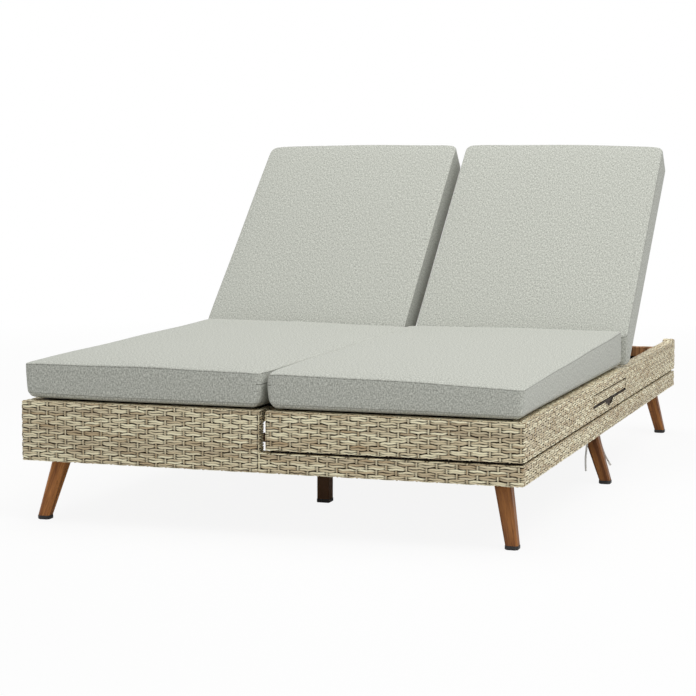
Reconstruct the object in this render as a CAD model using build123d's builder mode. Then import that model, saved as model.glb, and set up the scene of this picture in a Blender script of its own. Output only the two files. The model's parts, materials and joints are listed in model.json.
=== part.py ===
from build123d import *
import math
import os

os.makedirs("parts", exist_ok=True)

# Double chaise lounger, all sizes in millimetres.
# +X is to the right seen from the foot end, +Y runs to the head end, +Z is up.
# The origin is on the floor under the middle of the frame.
# The backrests stand raised at rest, as they do when somebody sits up.

# Woven frame
frame_length = 2000.0
frame_width = 1180.0
apron_bottom = 141.0
rail_top = 280.0
head_rail_drop = 20.0
band_height = 47.0
shadow_gap = 4.0
packing_inset = 9.0
packing_width = 15.0
halves_gap = 15.0
rail_width = 33.0
weave_wall = 4.0
weave_round = 5.0
inner_rail_height = 30.0

# Steel tube inside the weave
rail_tube_height = 25.0
slim_tube_height = 14.0
tube_wall = 1.5
upright_width = 16.0
upright_pitch = 190.0

# Cross frames, decks and centre legs
cross_tube = 20.0
cross_frame_offset = 532.0
deck_tube = 20.0
deck_weave = 4.0
deck_tube_pitch = 186.0
centre_leg_size = 30.0
centre_leg_x = -15.0

# Timber legs
leg_top_size = 37.0
leg_foot_size = 28.0
leg_corner_cut = 6.0
corner_leg_inset_x = 64.0
corner_leg_inset_y = 80.0
corner_leg_splay_x = 31.0
corner_leg_splay_y = 35.0
middle_leg_inset_x = 53.0
middle_leg_splay_x = 45.0
middle_leg_y = -41.0
pad_height = 9.0
pad_rim = 1.0
pad_edge_cut = 1.5
leg_plate = 60.0
leg_plate_thickness = 3.0
gusset_thickness = 4.0
gusset_margin = 35.0
bolt_radius = 4.0
bolt_reach = 42.0
nut_across_flats = 13.0
nut_height = 6.5
bolt_end = 3.0

# Pull-out side tray
tray_front_length = 428.0
tray_front_height = 25.0
tray_front_bottom = 224.0
tray_gap = 1.0
tray_pan_reach = 300.0
tray_pan_sheet = 2.0
tray_pan_rim = 20.0
scoop_offset = -8.5
scoop_width = 100.0
scoop_depth = 13.0
scoop_recess = 15.0
runner_sheet = 2.0
runner_flange = 12.0
runner_back = 6.0
runner_slip = 0.5
pan_slip = 0.3

# Backrests
recline_rest = 43.2
hinge_y = 168.0
back_tube = 16.0
back_weave = 4.0
back_end_gap = 24.0
back_rung_pitch = 190.0
hinge_plate_thickness = 3.0
hinge_plate_length = 36.0
hinge_plate_gap = 1.0
hinge_gap = 2.0
pin_radius = 5.0
pin_slip = 0.05
pin_setback = 0.3
deck_end_gap = 16.0
stop_length = 20.0
stop_thickness = 3.0
stop_reach = 27.0
stop_slip = 0.3

# Props and their slotted racks
prop_radius = 5.0
prop_slip = 0.3
prop_pivot = 160.0
prop_drop = 14.0
prop_length = 242.0
prop_angle_rest = 36.0
prop_end_gap = 1.0
lug_thickness = 4.0
lug_width = 22.0
lug_below = 9.0
rack_thickness = 4.0
rack_below = 22.0
rack_margin = 24.0
rack_top_gap = 4.0
slot_seat_gap = 0.3
slot_radius = 7.0
notch_radius = 6.0
notch_depth = 4.0
slot_steps = 8
notch_shares = (0.75, 0.5, 0.25)

# Cushions
seat_thickness = 79.0
seat_crown = 14.0
seat_front_gap = 8.0
seat_side_inset = 5.0
seat_middle_gap = 3.0
seat_rear_slope_share = 0.42
back_thickness = 88.0
back_crown = 9.0
back_side_proud = 12.0
back_middle_gap = 13.0
back_overhang = 4.0
cushion_round = 12.0
cushion_draw_in = 4.0
cushion_swell = 3.0
cushion_clear = 0.3
cushion_meet_gap = 0.8
crown_end_share = 0.35
end_corner_share = 0.5
station_shares = (0.12, 0.3, 0.5, 0.7, 0.88)
end_turn_shares = (0, 0.33, 0.67, 1)

# Cushion tie at the middle right leg
tie_radius = 2.5
tie_inset = 16.0
tie_saddle_width = 9.0
tie_saddle_wall = 2.5
tie_lead = 18.0
arc_share = 0.45

overrun = 5.0

half_length = frame_length / 2
half_width = frame_width / 2
side_inner = half_width - rail_width
end_inner = half_length - rail_width
half_gap = halves_gap / 2
inner_rail_far = half_gap + rail_width
tube_depth = rail_width - 2 * weave_wall
panel_bottom = apron_bottom + band_height + shadow_gap
head_rail_top = rail_top - head_rail_drop
deck_under = rail_top - deck_weave
deck_tube_bottom = deck_under - deck_tube
hinge_z = deck_under - back_tube / 2
inner_rail_bottom = rail_top - inner_rail_height
leg_top_z = apron_bottom - leg_plate_thickness
back_length = end_inner - hinge_y - back_end_gap
deck_back = hinge_y - deck_end_gap
last_deck_tube = deck_back - deck_tube / 2
deck_tube_count = math.floor((last_deck_tube + end_inner - deck_tube / 2) / deck_tube_pitch) + 1
deck_tube_places = [last_deck_tube - k * deck_tube_pitch for k in range(deck_tube_count)]

UP = Vector(0, 0, 1)
FORWARD = Vector(0, 1, 0)
RIGHT = Vector(1, 0, 0)

made = {}


def keep(name, built):
    """Label a finished piece, write it and remember it."""
    built.part.label = name
    export_step(built.part, "parts/" + name + ".step")
    made[name] = built.part


def block(low, high, mode=Mode.ADD):
    """A box between two corners, added to the part being built."""
    middle = [(a + b) / 2 for a, b in zip(low, high)]
    size = [b - a for a, b in zip(low, high)]
    with Locations(tuple(middle)):
        Box(*size, mode=mode)


def mirrored(side, low, high):
    """The two corners of a box given for the right half, moved to the left half when side is -1."""
    if side > 0:
        return low, high
    return (-high[0], low[1], low[2]), (-low[0], high[1], high[2])


def half_block(side, low, high, mode=Mode.ADD):
    """A block given for the right half and made on the side asked for."""
    block(*mirrored(side, low, high), mode=mode)


# Woven rails: a channel of weave wrapped round two tubes, open on its inner face between them

def run_plane(inward, distance, first, height):
    """The plane across a rail: x points into the frame, y points up, and the rail runs along z."""
    along = inward.cross(UP)
    origin = along * first - inward * distance + UP * height
    return Plane(origin=origin, x_dir=inward, z_dir=along)


def woven_rail(inward, distance, first, last, bottom, top, low_tube, high_tube, caps, corners):
    """Weave round a rail. caps closes its ends and corners lets the tubes of the next rail in."""
    plane = run_plane(inward, distance, first, bottom)
    length = last - first
    height = top - bottom
    start_cap = weave_wall if caps[0] else 0
    end_cap = weave_wall if caps[1] else 0
    hollow = length - start_cap - end_cap
    window = height - 2 * weave_wall - low_tube - high_tube
    with BuildPart() as rail:
        with BuildSketch(plane):
            with Locations((rail_width / 2, height / 2)):
                Rectangle(rail_width, height)
        extrude(amount=length)
        long_edges = rail.edges().filter_by(Axis(plane.origin, plane.z_dir))
        end_edges = rail.edges().filter_by(Axis.Z).group_by(Axis(plane.origin, inward))[0]
        fillet(long_edges + (end_edges if corners else []), weave_round)
        with BuildSketch(plane.offset(start_cap)):
            with Locations((rail_width / 2, height / 2)):
                Rectangle(tube_depth, height - 2 * weave_wall)
        extrude(amount=hollow, mode=Mode.SUBTRACT)
        if high_tube > 0:
            with BuildSketch(plane.offset(start_cap)):
                with Locations((rail_width, weave_wall + low_tube + window / 2)):
                    Rectangle(2 * weave_wall, window)
            extrude(amount=hollow, mode=Mode.SUBTRACT)
        if corners:
            for start in (weave_wall, length - weave_wall - tube_depth):
                with BuildSketch(plane.offset(start)):
                    with Locations((rail_width, height / 2)):
                        Rectangle(2 * weave_wall, height - 2 * weave_wall)
                extrude(amount=tube_depth, mode=Mode.SUBTRACT)
    return rail


def ladder(inward, distance, first, last, bottom, top, low_tube, high_tube, keep_clear=None):
    """Welded tubes inside a woven rail: a lower tube, an upper tube and uprights between them."""
    along = inward.cross(UP)
    middle = (first + last) / 2
    origin = along * middle - inward * (distance - weave_wall) + UP * (bottom + weave_wall)
    face = Plane(origin=origin, x_dir=along * -1, z_dir=inward)
    length = last - first
    height = top - bottom - 2 * weave_wall
    count = math.ceil(length / upright_pitch)
    pitch = (length - upright_width) / count
    places = [(k - count / 2) * pitch for k in range(count + 1)]
    if keep_clear is not None:
        places = [p for p in places if not keep_clear[0] < middle - p < keep_clear[1]]
        places += [middle - keep_clear[0], middle - keep_clear[1]]
    with BuildPart() as frame:
        with BuildSketch(face):
            with Locations((0, low_tube / 2)):
                Rectangle(length, low_tube)
            with Locations((0, height - high_tube / 2)):
                Rectangle(length, high_tube)
            with Locations([(p, height / 2) for p in places]):
                Rectangle(upright_width, height)
        extrude(amount=tube_depth)
        with BuildSketch(face.offset(tube_wall)):
            with Locations((0, low_tube / 2)):
                Rectangle(length + 2 * overrun, low_tube - 2 * tube_wall)
            with Locations((0, height - high_tube / 2)):
                Rectangle(length + 2 * overrun, high_tube - 2 * tube_wall)
            with Locations([(p, height / 2) for p in places]):
                Rectangle(upright_width - 2 * tube_wall, height - 2 * tube_wall)
        extrude(amount=tube_depth - 2 * tube_wall, mode=Mode.SUBTRACT)
    return frame


def tube(plane, length, width, height):
    """A rectangular steel tube along the plane's z, centred on the plane's origin."""
    with BuildPart() as built:
        with BuildSketch(plane):
            Rectangle(width, height)
            Rectangle(width - 2 * tube_wall, height - 2 * tube_wall, mode=Mode.SUBTRACT)
        extrude(amount=length)
    return built


# The tray sits between the first and third deck tubes, counted from the backrests
tray_y = deck_tube_places[1]
scoop_y = tray_y + scoop_offset
tray_zone = (tray_y - tray_front_length / 2, tray_y + tray_front_length / 2)
side_clear = (tray_zone[0] - upright_width, tray_zone[1] + upright_width)
tubes = (rail_tube_height, rail_tube_height)
slim_tubes = (slim_tube_height, rail_tube_height)
band_tube_height = band_height - 2 * weave_wall

# Left half: full-height rails on three sides
keep("left_side_weave", woven_rail(
    RIGHT, half_width, -half_length, half_length, apron_bottom, rail_top, *tubes, (True, True), True))
keep("left_side_ladder", ladder(
    RIGHT, half_width, -half_length + weave_wall, half_length - weave_wall, apron_bottom, rail_top, *tubes))
keep("left_front_weave", woven_rail(
    FORWARD, half_length, -side_inner, -half_gap, apron_bottom, rail_top, *tubes, (False, True), False))
keep("left_front_ladder", ladder(
    FORWARD, half_length, -side_inner - weave_wall, -half_gap - weave_wall, apron_bottom, rail_top, *tubes))
keep("left_head_weave", woven_rail(
    FORWARD * -1, half_length, half_gap, side_inner, apron_bottom, head_rail_top, *tubes,
    (True, False), False))
keep("left_head_ladder", ladder(
    FORWARD * -1, half_length, half_gap + weave_wall, side_inner + weave_wall, apron_bottom, head_rail_top,
    *tubes))

# Right half: a low band that carries on round, and a separate upper frame bolted over it
keep("side_band_weave", woven_rail(
    RIGHT * -1, half_width, -half_length, half_length, apron_bottom, apron_bottom + band_height,
    band_tube_height, 0, (True, True), True))
keep("front_band_weave", woven_rail(
    FORWARD, half_length, -half_gap, side_inner, apron_bottom, apron_bottom + band_height,
    band_tube_height, 0, (False, False), False))
keep("head_band_weave", woven_rail(
    FORWARD * -1, half_length, -side_inner, half_gap, apron_bottom, apron_bottom + band_height,
    band_tube_height, 0, (False, False), False))
band_middle = apron_bottom + band_height / 2
tube_line = rail_width / 2
keep("side_band_tube", tube(
    Plane(origin=(half_width - tube_line, -half_length + weave_wall, band_middle), x_dir=RIGHT * -1,
          z_dir=FORWARD),
    frame_length - 2 * weave_wall, tube_depth, band_tube_height))
band_tube_length = side_inner + weave_wall + half_gap
keep("front_band_tube", tube(
    Plane(origin=(-half_gap, -half_length + tube_line, band_middle), x_dir=FORWARD, z_dir=RIGHT),
    band_tube_length, tube_depth, band_tube_height))
keep("head_band_tube", tube(
    Plane(origin=(-half_gap, half_length - tube_line, band_middle), x_dir=FORWARD, z_dir=RIGHT),
    band_tube_length, tube_depth, band_tube_height))
keep("right_front_weave", woven_rail(
    FORWARD, half_length, half_gap, side_inner, panel_bottom, rail_top, *slim_tubes, (True, False), False))
keep("right_front_ladder", ladder(
    FORWARD, half_length, half_gap + weave_wall, side_inner + weave_wall, panel_bottom, rail_top,
    *slim_tubes))
keep("right_head_weave", woven_rail(
    FORWARD * -1, half_length, -side_inner, -half_gap, panel_bottom, head_rail_top, *slim_tubes,
    (False, True), False))
keep("right_head_ladder", ladder(
    FORWARD * -1, half_length, -side_inner - weave_wall, -half_gap - weave_wall, panel_bottom,
    head_rail_top, *slim_tubes))
keep("right_side_ladder", ladder(
    RIGHT * -1, half_width, -half_length + weave_wall, half_length - weave_wall, panel_bottom, rail_top,
    *slim_tubes, keep_clear=side_clear))

right_side = woven_rail(
    RIGHT * -1, half_width, -half_length, half_length, panel_bottom, rail_top, *slim_tubes,
    (True, True), True)
slot_low = tray_front_bottom - tray_gap
slot_high = tray_front_bottom + tray_front_height + tray_gap
with BuildPart() as right_side_weave:
    add(right_side.part)
    block((side_inner - overrun, tray_zone[0] - tray_gap, slot_low),
          (half_width + overrun, tray_zone[1] + tray_gap, slot_high), mode=Mode.SUBTRACT)
    # The finger scoop is a shallow bow under the tray front
    with BuildSketch(Plane.YZ.offset(half_width - scoop_recess)):
        with BuildLine():
            Line((scoop_y - scoop_width / 2, slot_low), (scoop_y + scoop_width / 2, slot_low))
            ThreePointArc((scoop_y + scoop_width / 2, slot_low), (scoop_y, slot_low - scoop_depth),
                          (scoop_y - scoop_width / 2, slot_low))
        make_face()
    extrude(amount=scoop_recess + overrun, mode=Mode.SUBTRACT)
keep("right_side_weave", right_side_weave)

# Packing strip: it carries the upper frame on the low band and closes the shadow line between them
with BuildPart() as packing_strip:
    near = packing_inset
    far = packing_inset + packing_width
    low = apron_bottom + band_height
    for end in (-1, 1):
        ys = sorted((end * (half_length - near), end * (half_length - far)))
        block((half_gap + near, ys[0], low), (half_width - near, ys[1], panel_bottom))
    block((half_width - far, -half_length + near, low), (half_width - near, half_length - near, panel_bottom))
keep("packing_strip", packing_strip)

# Inner rails along the middle, one for each half, with the posts and cross tubes under them
inner_rail_tube_height = inner_rail_height - 2 * weave_wall
keep("left_inner_weave", woven_rail(
    RIGHT * -1, -half_gap, -end_inner, end_inner, inner_rail_bottom, rail_top, inner_rail_tube_height, 0,
    (False, False), False))
keep("right_inner_weave", woven_rail(
    RIGHT, -half_gap, -end_inner, end_inner, inner_rail_bottom, rail_top, inner_rail_tube_height, 0,
    (False, False), False))
inner_rail_x = half_gap + rail_width / 2
with BuildPart() as inner_rail_tubes:
    for side in (-1, 1):
        start = (side * inner_rail_x, -end_inner, rail_top - inner_rail_height / 2)
        with BuildSketch(Plane(origin=start, x_dir=RIGHT * -1, z_dir=FORWARD)):
            Rectangle(tube_depth, inner_rail_tube_height)
            Rectangle(tube_depth - 2 * tube_wall, inner_rail_tube_height - 2 * tube_wall, mode=Mode.SUBTRACT)
        extrude(amount=2 * end_inner)
keep("inner_rail_tubes", inner_rail_tubes)


def cross_frame(y, bottom):
    """A tube across the whole frame with two short posts that carry the inner rails."""
    half = cross_tube / 2
    bore = half - tube_wall
    axis = bottom + half
    with BuildPart() as frame:
        block((-side_inner, y - half, bottom), (side_inner, y + half, bottom + cross_tube))
        for x in (-inner_rail_x, inner_rail_x):
            block((x - half, y - half, axis), (x + half, y + half, inner_rail_bottom))
        block((-side_inner - overrun, y - bore, axis - bore), (side_inner + overrun, y + bore, axis + bore),
              mode=Mode.SUBTRACT)
        for x in (-inner_rail_x, inner_rail_x):
            block((x - bore, y - bore, axis), (x + bore, y + bore, inner_rail_bottom + overrun),
                  mode=Mode.SUBTRACT)
    return frame


middle_frame_bottom = apron_bottom + gusset_thickness
keep("front_cross_frame", cross_frame(-cross_frame_offset, apron_bottom))
keep("middle_cross_frame", cross_frame(middle_leg_y, middle_frame_bottom))
keep("head_cross_frame", cross_frame(cross_frame_offset, apron_bottom))

with BuildPart() as centre_legs:
    for y in (-cross_frame_offset, cross_frame_offset):
        with BuildSketch(Plane(origin=(centre_leg_x, y, pad_height))):
            Rectangle(centre_leg_size, centre_leg_size)
            Rectangle(centre_leg_size - 2 * tube_wall, centre_leg_size - 2 * tube_wall, mode=Mode.SUBTRACT)
        extrude(amount=apron_bottom - pad_height)
keep("centre_legs", centre_legs)

# Decks: steel cross tubes from rail to rail with woven webbing over them
with BuildPart() as deck_tubes:
    for side in (-1, 1):
        start_x = inner_rail_far if side > 0 else -side_inner
        for y in deck_tube_places:
            start = (start_x, y, deck_under - deck_tube / 2)
            with BuildSketch(Plane(origin=start, x_dir=FORWARD, z_dir=RIGHT)):
                Rectangle(deck_tube, deck_tube)
                Rectangle(deck_tube - 2 * tube_wall, deck_tube - 2 * tube_wall, mode=Mode.SUBTRACT)
            extrude(amount=side_inner - inner_rail_far)
keep("deck_tubes", deck_tubes)
for side, word in ((-1, "left"), (1, "right")):
    with BuildPart() as deck:
        half_block(side, (inner_rail_far, -end_inner, deck_under), (side_inner, deck_back, rail_top))
    keep(word + "_deck_weave", deck)


# Timber legs, splayed and tapered, with their plates, bolts and pads

def leg_places():
    """Name, top centre and foot centre of each timber leg."""
    top_x = half_width - corner_leg_inset_x
    top_y = half_length - corner_leg_inset_y
    places = []
    for side, word in ((-1, "left"), (1, "right")):
        for end, end_word in ((-1, "front"), (1, "head")):
            top = (side * top_x, end * top_y)
            foot = (side * (top_x + corner_leg_splay_x), end * (top_y + corner_leg_splay_y))
            places.append((end_word + "_" + word + "_leg", top, foot))
        middle_x = half_width - middle_leg_inset_x
        top = (side * middle_x, middle_leg_y)
        foot = (side * (middle_x + middle_leg_splay_x), middle_leg_y)
        places.append(("middle_" + word + "_leg", top, foot))
    return places


def on_leg(top, foot, z):
    """The centre of a leg at a height."""
    share = z / leg_top_z
    return tuple(f + (t - f) * share for t, f in zip(top, foot))


def chamfered_square(z, centre, size, cut):
    """A square with cut corners, drawn level at a height."""
    with BuildSketch(Plane(origin=(centre[0], centre[1], z))) as square:
        Rectangle(size, size)
        chamfer(square.vertices(), cut)
    return square.sketch


for name, top, foot in leg_places():
    foot_cut = leg_corner_cut * leg_foot_size / leg_top_size
    with BuildPart() as leg:
        loft([chamfered_square(pad_height, on_leg(top, foot, pad_height), leg_foot_size, foot_cut),
              chamfered_square(leg_top_z, top, leg_top_size, leg_corner_cut)])
        with BuildSketch(Plane(origin=(top[0], top[1], leg_top_z))):
            Circle(bolt_radius)
        extrude(amount=-bolt_reach, mode=Mode.SUBTRACT)
    keep(name, leg)

with BuildPart() as foot_pads:
    for name, top, foot in leg_places():
        centre = on_leg(top, foot, pad_height)
        extrude(chamfered_square(0, centre, leg_foot_size + 2 * pad_rim, leg_corner_cut), amount=pad_height)
    for y in (-cross_frame_offset, cross_frame_offset):
        extrude(chamfered_square(0, (centre_leg_x, y), centre_leg_size + 2 * pad_rim, pad_rim),
                amount=pad_height)
    chamfer(foot_pads.faces().filter_by(Axis.Z).group_by(Axis.Z)[0].edges(), pad_edge_cut)
keep("foot_pads", foot_pads)

with BuildPart() as leg_brackets:
    for name, top, foot in leg_places():
        half = leg_plate / 2
        low_y = top[1] - gusset_margin
        high_y = top[1] + gusset_margin
        if top[1] < -end_inner / 2:
            low_y = -end_inner
        if top[1] > end_inner / 2:
            high_y = end_inner
        low_x = abs(top[0]) - gusset_margin
        side = 1 if top[0] > 0 else -1
        block((top[0] - half, top[1] - half, leg_top_z), (top[0] + half, top[1] + half, apron_bottom))
        half_block(side, (low_x, low_y, apron_bottom), (side_inner, high_y, apron_bottom + gusset_thickness))
        with BuildSketch(Plane(origin=(top[0], top[1], leg_top_z))):
            Circle(bolt_radius)
        extrude(amount=leg_plate_thickness + gusset_thickness, mode=Mode.SUBTRACT)
keep("leg_brackets", leg_brackets)

nut_bottom = apron_bottom + gusset_thickness
with BuildPart() as leg_bolts:
    for name, top, foot in leg_places():
        with BuildSketch(Plane(origin=(top[0], top[1], leg_top_z - bolt_reach + bolt_end))):
            Circle(bolt_radius)
        if top[1] == middle_leg_y:
            extrude(amount=bolt_reach - bolt_end + leg_plate_thickness + gusset_thickness)
        else:
            extrude(amount=bolt_reach + leg_plate_thickness + gusset_thickness + nut_height)
            with BuildSketch(Plane(origin=(top[0], top[1], nut_bottom))):
                RegularPolygon(nut_across_flats / 2, 6, major_radius=False)
            extrude(amount=nut_height)
keep("leg_bolts", leg_bolts)

# Side tray: a woven front, a sheet pan behind it and two runners under the right deck
runner_ys = (deck_tube_places[2], deck_tube_places[0])
runner_bottom = tray_front_bottom
runner_far = side_inner - tray_pan_reach
with BuildPart() as tray_runners:
    for y, outward in ((runner_ys[0], -1), (runner_ys[1], 1)):
        back = y + outward * runner_back
        low_y, high_y = sorted((back, back - outward * runner_flange))
        web_low, web_high = sorted((back, back - outward * runner_sheet))
        block((runner_far, low_y, runner_bottom), (side_inner, high_y, runner_bottom + runner_sheet))
        block((runner_far, low_y, deck_tube_bottom - runner_sheet), (side_inner, high_y, deck_tube_bottom))
        block((runner_far, web_low, runner_bottom), (side_inner, web_high, deck_tube_bottom))
keep("tray_runners", tray_runners)

pan_low_y = runner_ys[0] - runner_back + runner_sheet + runner_slip
pan_high_y = runner_ys[1] + runner_back - runner_sheet - runner_slip
pan_bottom = runner_bottom + runner_sheet + pan_slip
pan_back = runner_far + tray_gap
rim_low = pan_bottom + tray_pan_sheet
rim_high = pan_bottom + tray_pan_rim
with BuildPart() as tray_floor:
    block((pan_back, pan_low_y, pan_bottom), (side_inner, pan_high_y, rim_low))
keep("tray_floor", tray_floor)
# The rim is four flat bars welded to the floor plate, the two long ones between the two short ones
with BuildPart() as tray_rim:
    for low_x in (pan_back, side_inner - tray_pan_sheet):
        block((low_x, pan_low_y, rim_low), (low_x + tray_pan_sheet, pan_high_y, rim_high))
with BuildPart() as tray_rim_sides:
    for low_y in (pan_low_y, pan_high_y - tray_pan_sheet):
        block((pan_back + tray_pan_sheet, low_y, rim_low),
              (side_inner - tray_pan_sheet, low_y + tray_pan_sheet, rim_high))
tray_rim.part = Part(children=[*tray_rim.solids(), *tray_rim_sides.solids()])
keep("tray_rim", tray_rim)

with BuildPart() as tray_front:
    block((side_inner, tray_zone[0], tray_front_bottom),
          (half_width, tray_zone[1], tray_front_bottom + tray_front_height))
    fillet(tray_front.edges().filter_by(Axis.Y).group_by(Axis.X)[-1], weave_wall)
keep("tray_front", tray_front)

# Hinges: plates on the rails, with a pin through each backrest side tube
back_outer = side_inner - hinge_plate_thickness - hinge_gap
back_inner = inner_rail_far + hinge_plate_thickness + hinge_gap
hinge_top = deck_under
hinge_foot = 2 * hinge_z - hinge_top
hinge_front = deck_back + hinge_plate_gap
with BuildPart() as hinge_plates:
    for side in (-1, 1):
        for face, inside in ((side_inner, -1), (inner_rail_far, 1)):
            near, far = sorted((face, face + inside * hinge_plate_thickness))
            half_block(side, (near, hinge_front, hinge_foot),
                       (far, hinge_front + hinge_plate_length, hinge_top))
    with Locations(Plane(origin=(0, hinge_y, hinge_z), z_dir=RIGHT)):
        Cylinder(pin_radius, frame_width, mode=Mode.SUBTRACT)
keep("hinge_plates", hinge_plates)

with BuildPart() as hinge_pins:
    for side in (-1, 1):
        for face, inside in ((side_inner, -1), (inner_rail_far, 1)):
            outer_end = side * (face + inside * pin_setback)
            reach = hinge_plate_thickness + hinge_gap + back_tube / 2
            inner_end = side * (face + inside * reach)
            with BuildSketch(Plane(origin=(outer_end, hinge_y, hinge_z), z_dir=RIGHT * (side * inside))):
                Circle(pin_radius)
            extrude(amount=abs(inner_end - outer_end))
keep("hinge_pins", hinge_pins)

# Backrests, drawn raised: u runs up the backrest from the hinge and v stands square to it
recline = math.radians(recline_rest)
UP_BACK = Vector(0, math.cos(recline), math.sin(recline))
OFF_BACK = Vector(0, -math.sin(recline), math.cos(recline))


def back_point(x, u, v):
    """A point of a raised backrest."""
    return Vector(x, hinge_y, hinge_z) + UP_BACK * u + OFF_BACK * v


def back_plane(x, u, v):
    """The plane that lies in the backrest, with x across and y up it."""
    return Plane(origin=back_point(x, u, v), x_dir=RIGHT, z_dir=OFF_BACK)


rung_count = math.ceil((back_length - back_tube / 2) / back_rung_pitch)
rung_pitch = (back_length - back_tube / 2) / rung_count
rung_places = [k * rung_pitch for k in range(rung_count + 1)]
back_width = back_outer - back_inner
back_middle = (back_outer + back_inner) / 2
back_start = -back_tube / 2
back_span = back_length - back_start
lug_length = back_tube / 2 + prop_drop + lug_below
for side, word in ((-1, "left"), (1, "right")):
    middle = side * back_middle
    with BuildPart() as back_frame:
        with BuildSketch(back_plane(middle, 0, -back_tube / 2)):
            for x in (-(back_width - back_tube) / 2, (back_width - back_tube) / 2):
                with Locations((x, back_start + back_span / 2)):
                    Rectangle(back_tube, back_span)
            with Locations([(0, u) for u in rung_places]):
                Rectangle(back_width, back_tube)
        extrude(amount=back_tube)
        with BuildSketch(back_plane(middle, 0, -back_tube / 2 + tube_wall)):
            for x in (-(back_width - back_tube) / 2, (back_width - back_tube) / 2):
                with Locations((x, back_start + back_span / 2)):
                    Rectangle(back_tube - 2 * tube_wall, back_span + 2 * overrun)
            with Locations([(0, u) for u in rung_places[1:-1]]):
                Rectangle(back_width - back_tube, back_tube - 2 * tube_wall)
        extrude(amount=back_tube - 2 * tube_wall, mode=Mode.SUBTRACT)
        # Bearing blocks fill the side tubes at the hinge, and a lug hangs from each for the prop
        for x, inside in ((-(back_width - back_tube) / 2, 1), ((back_width - back_tube) / 2, -1)):
            with BuildSketch(back_plane(middle, 0, -back_tube / 2)):
                with Locations((x, 0)):
                    Rectangle(back_tube, back_tube)
            extrude(amount=back_tube)
            lug_x = x + inside * (back_tube + lug_thickness) / 2
            with BuildSketch(back_plane(middle, 0, back_tube / 2)):
                with Locations((lug_x, prop_pivot)):
                    Rectangle(lug_thickness, lug_width)
            extrude(amount=-lug_length)
        with Locations(Plane(origin=(0, hinge_y, hinge_z), z_dir=RIGHT)):
            Cylinder(pin_radius + pin_slip, frame_width, mode=Mode.SUBTRACT)
        with Locations(Plane(origin=back_point(0, prop_pivot, -prop_drop), z_dir=RIGHT)):
            Cylinder(prop_radius + pin_slip, frame_width, mode=Mode.SUBTRACT)
    keep(word + "_backrest_frame", back_frame)
    with BuildPart() as back_panel:
        with BuildSketch(back_plane(middle, 0, back_tube / 2)):
            with Locations((0, back_start + back_span / 2)):
                Rectangle(back_width, back_span)
        extrude(amount=back_weave)
    keep(word + "_backrest_weave", back_panel)

# Rest stops that the backrests lie on when flat
stop_top = hinge_z - back_tube / 2 - stop_slip
stop_y = hinge_y + rung_places[-1]
with BuildPart() as rest_stops:
    for side in (-1, 1):
        half_block(side, (side_inner - stop_reach, stop_y - stop_length / 2, stop_top - stop_thickness),
                   (side_inner, stop_y + stop_length / 2, stop_top))
        half_block(side, (inner_rail_far, stop_y - stop_length / 2, stop_top - stop_thickness),
                   (inner_rail_far + stop_reach, stop_y + stop_length / 2, stop_top))
keep("rest_stops", rest_stops)


# Props: a bent rod hung from the lugs, whose foot runs in a slotted rack on each rail

def foot_point(share):
    """Where the prop's foot is, from 0 with the backrest flat to 1 with it raised."""
    lean = recline * share
    drop = math.radians(prop_angle_rest) * share
    y = hinge_y + prop_pivot * math.cos(lean) + prop_drop * math.sin(lean) + prop_length * math.cos(drop)
    z = hinge_z + prop_pivot * math.sin(lean) - prop_drop * math.cos(lean) - prop_length * math.sin(drop)
    return y, z


foot_y, foot_z = foot_point(1)
flat_y, flat_z = foot_point(0)
prop_drop_angle = math.radians(prop_angle_rest)
PROP_DOWN = Vector(0, math.cos(prop_drop_angle), -math.sin(prop_drop_angle))
beside_lug = prop_radius + prop_slip
leg_outer_x = back_outer - back_tube - lug_thickness - beside_lug
leg_inner_x = back_inner + back_tube + lug_thickness + beside_lug
stub = beside_lug + lug_thickness + back_tube / 2
for side, word in ((-1, "left"), (1, "right")):
    low_x, high_x = sorted((side * leg_inner_x, side * leg_outer_x))
    foot_low, foot_high = sorted((side * (inner_rail_far + prop_end_gap), side * (side_inner - prop_end_gap)))
    pivot = back_point(0, prop_pivot, -prop_drop)
    with BuildPart() as prop:
        with BuildSketch(Plane(origin=(foot_low, foot_y, foot_z), x_dir=FORWARD, z_dir=RIGHT)):
            Circle(prop_radius)
        extrude(amount=foot_high - foot_low)
        for x in (low_x, high_x):
            start = pivot + RIGHT * x
            with BuildSketch(Plane(origin=start, x_dir=RIGHT, z_dir=PROP_DOWN)):
                Circle(prop_radius)
            extrude(amount=prop_length)
            with Locations(start):
                Sphere(prop_radius)
        for x, outward in ((low_x, -1), (high_x, 1)):
            with BuildSketch(Plane(origin=pivot + RIGHT * x, x_dir=FORWARD, z_dir=RIGHT * outward)):
                Circle(prop_radius)
            extrude(amount=stub)
    keep(word + "_prop", prop)

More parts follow.
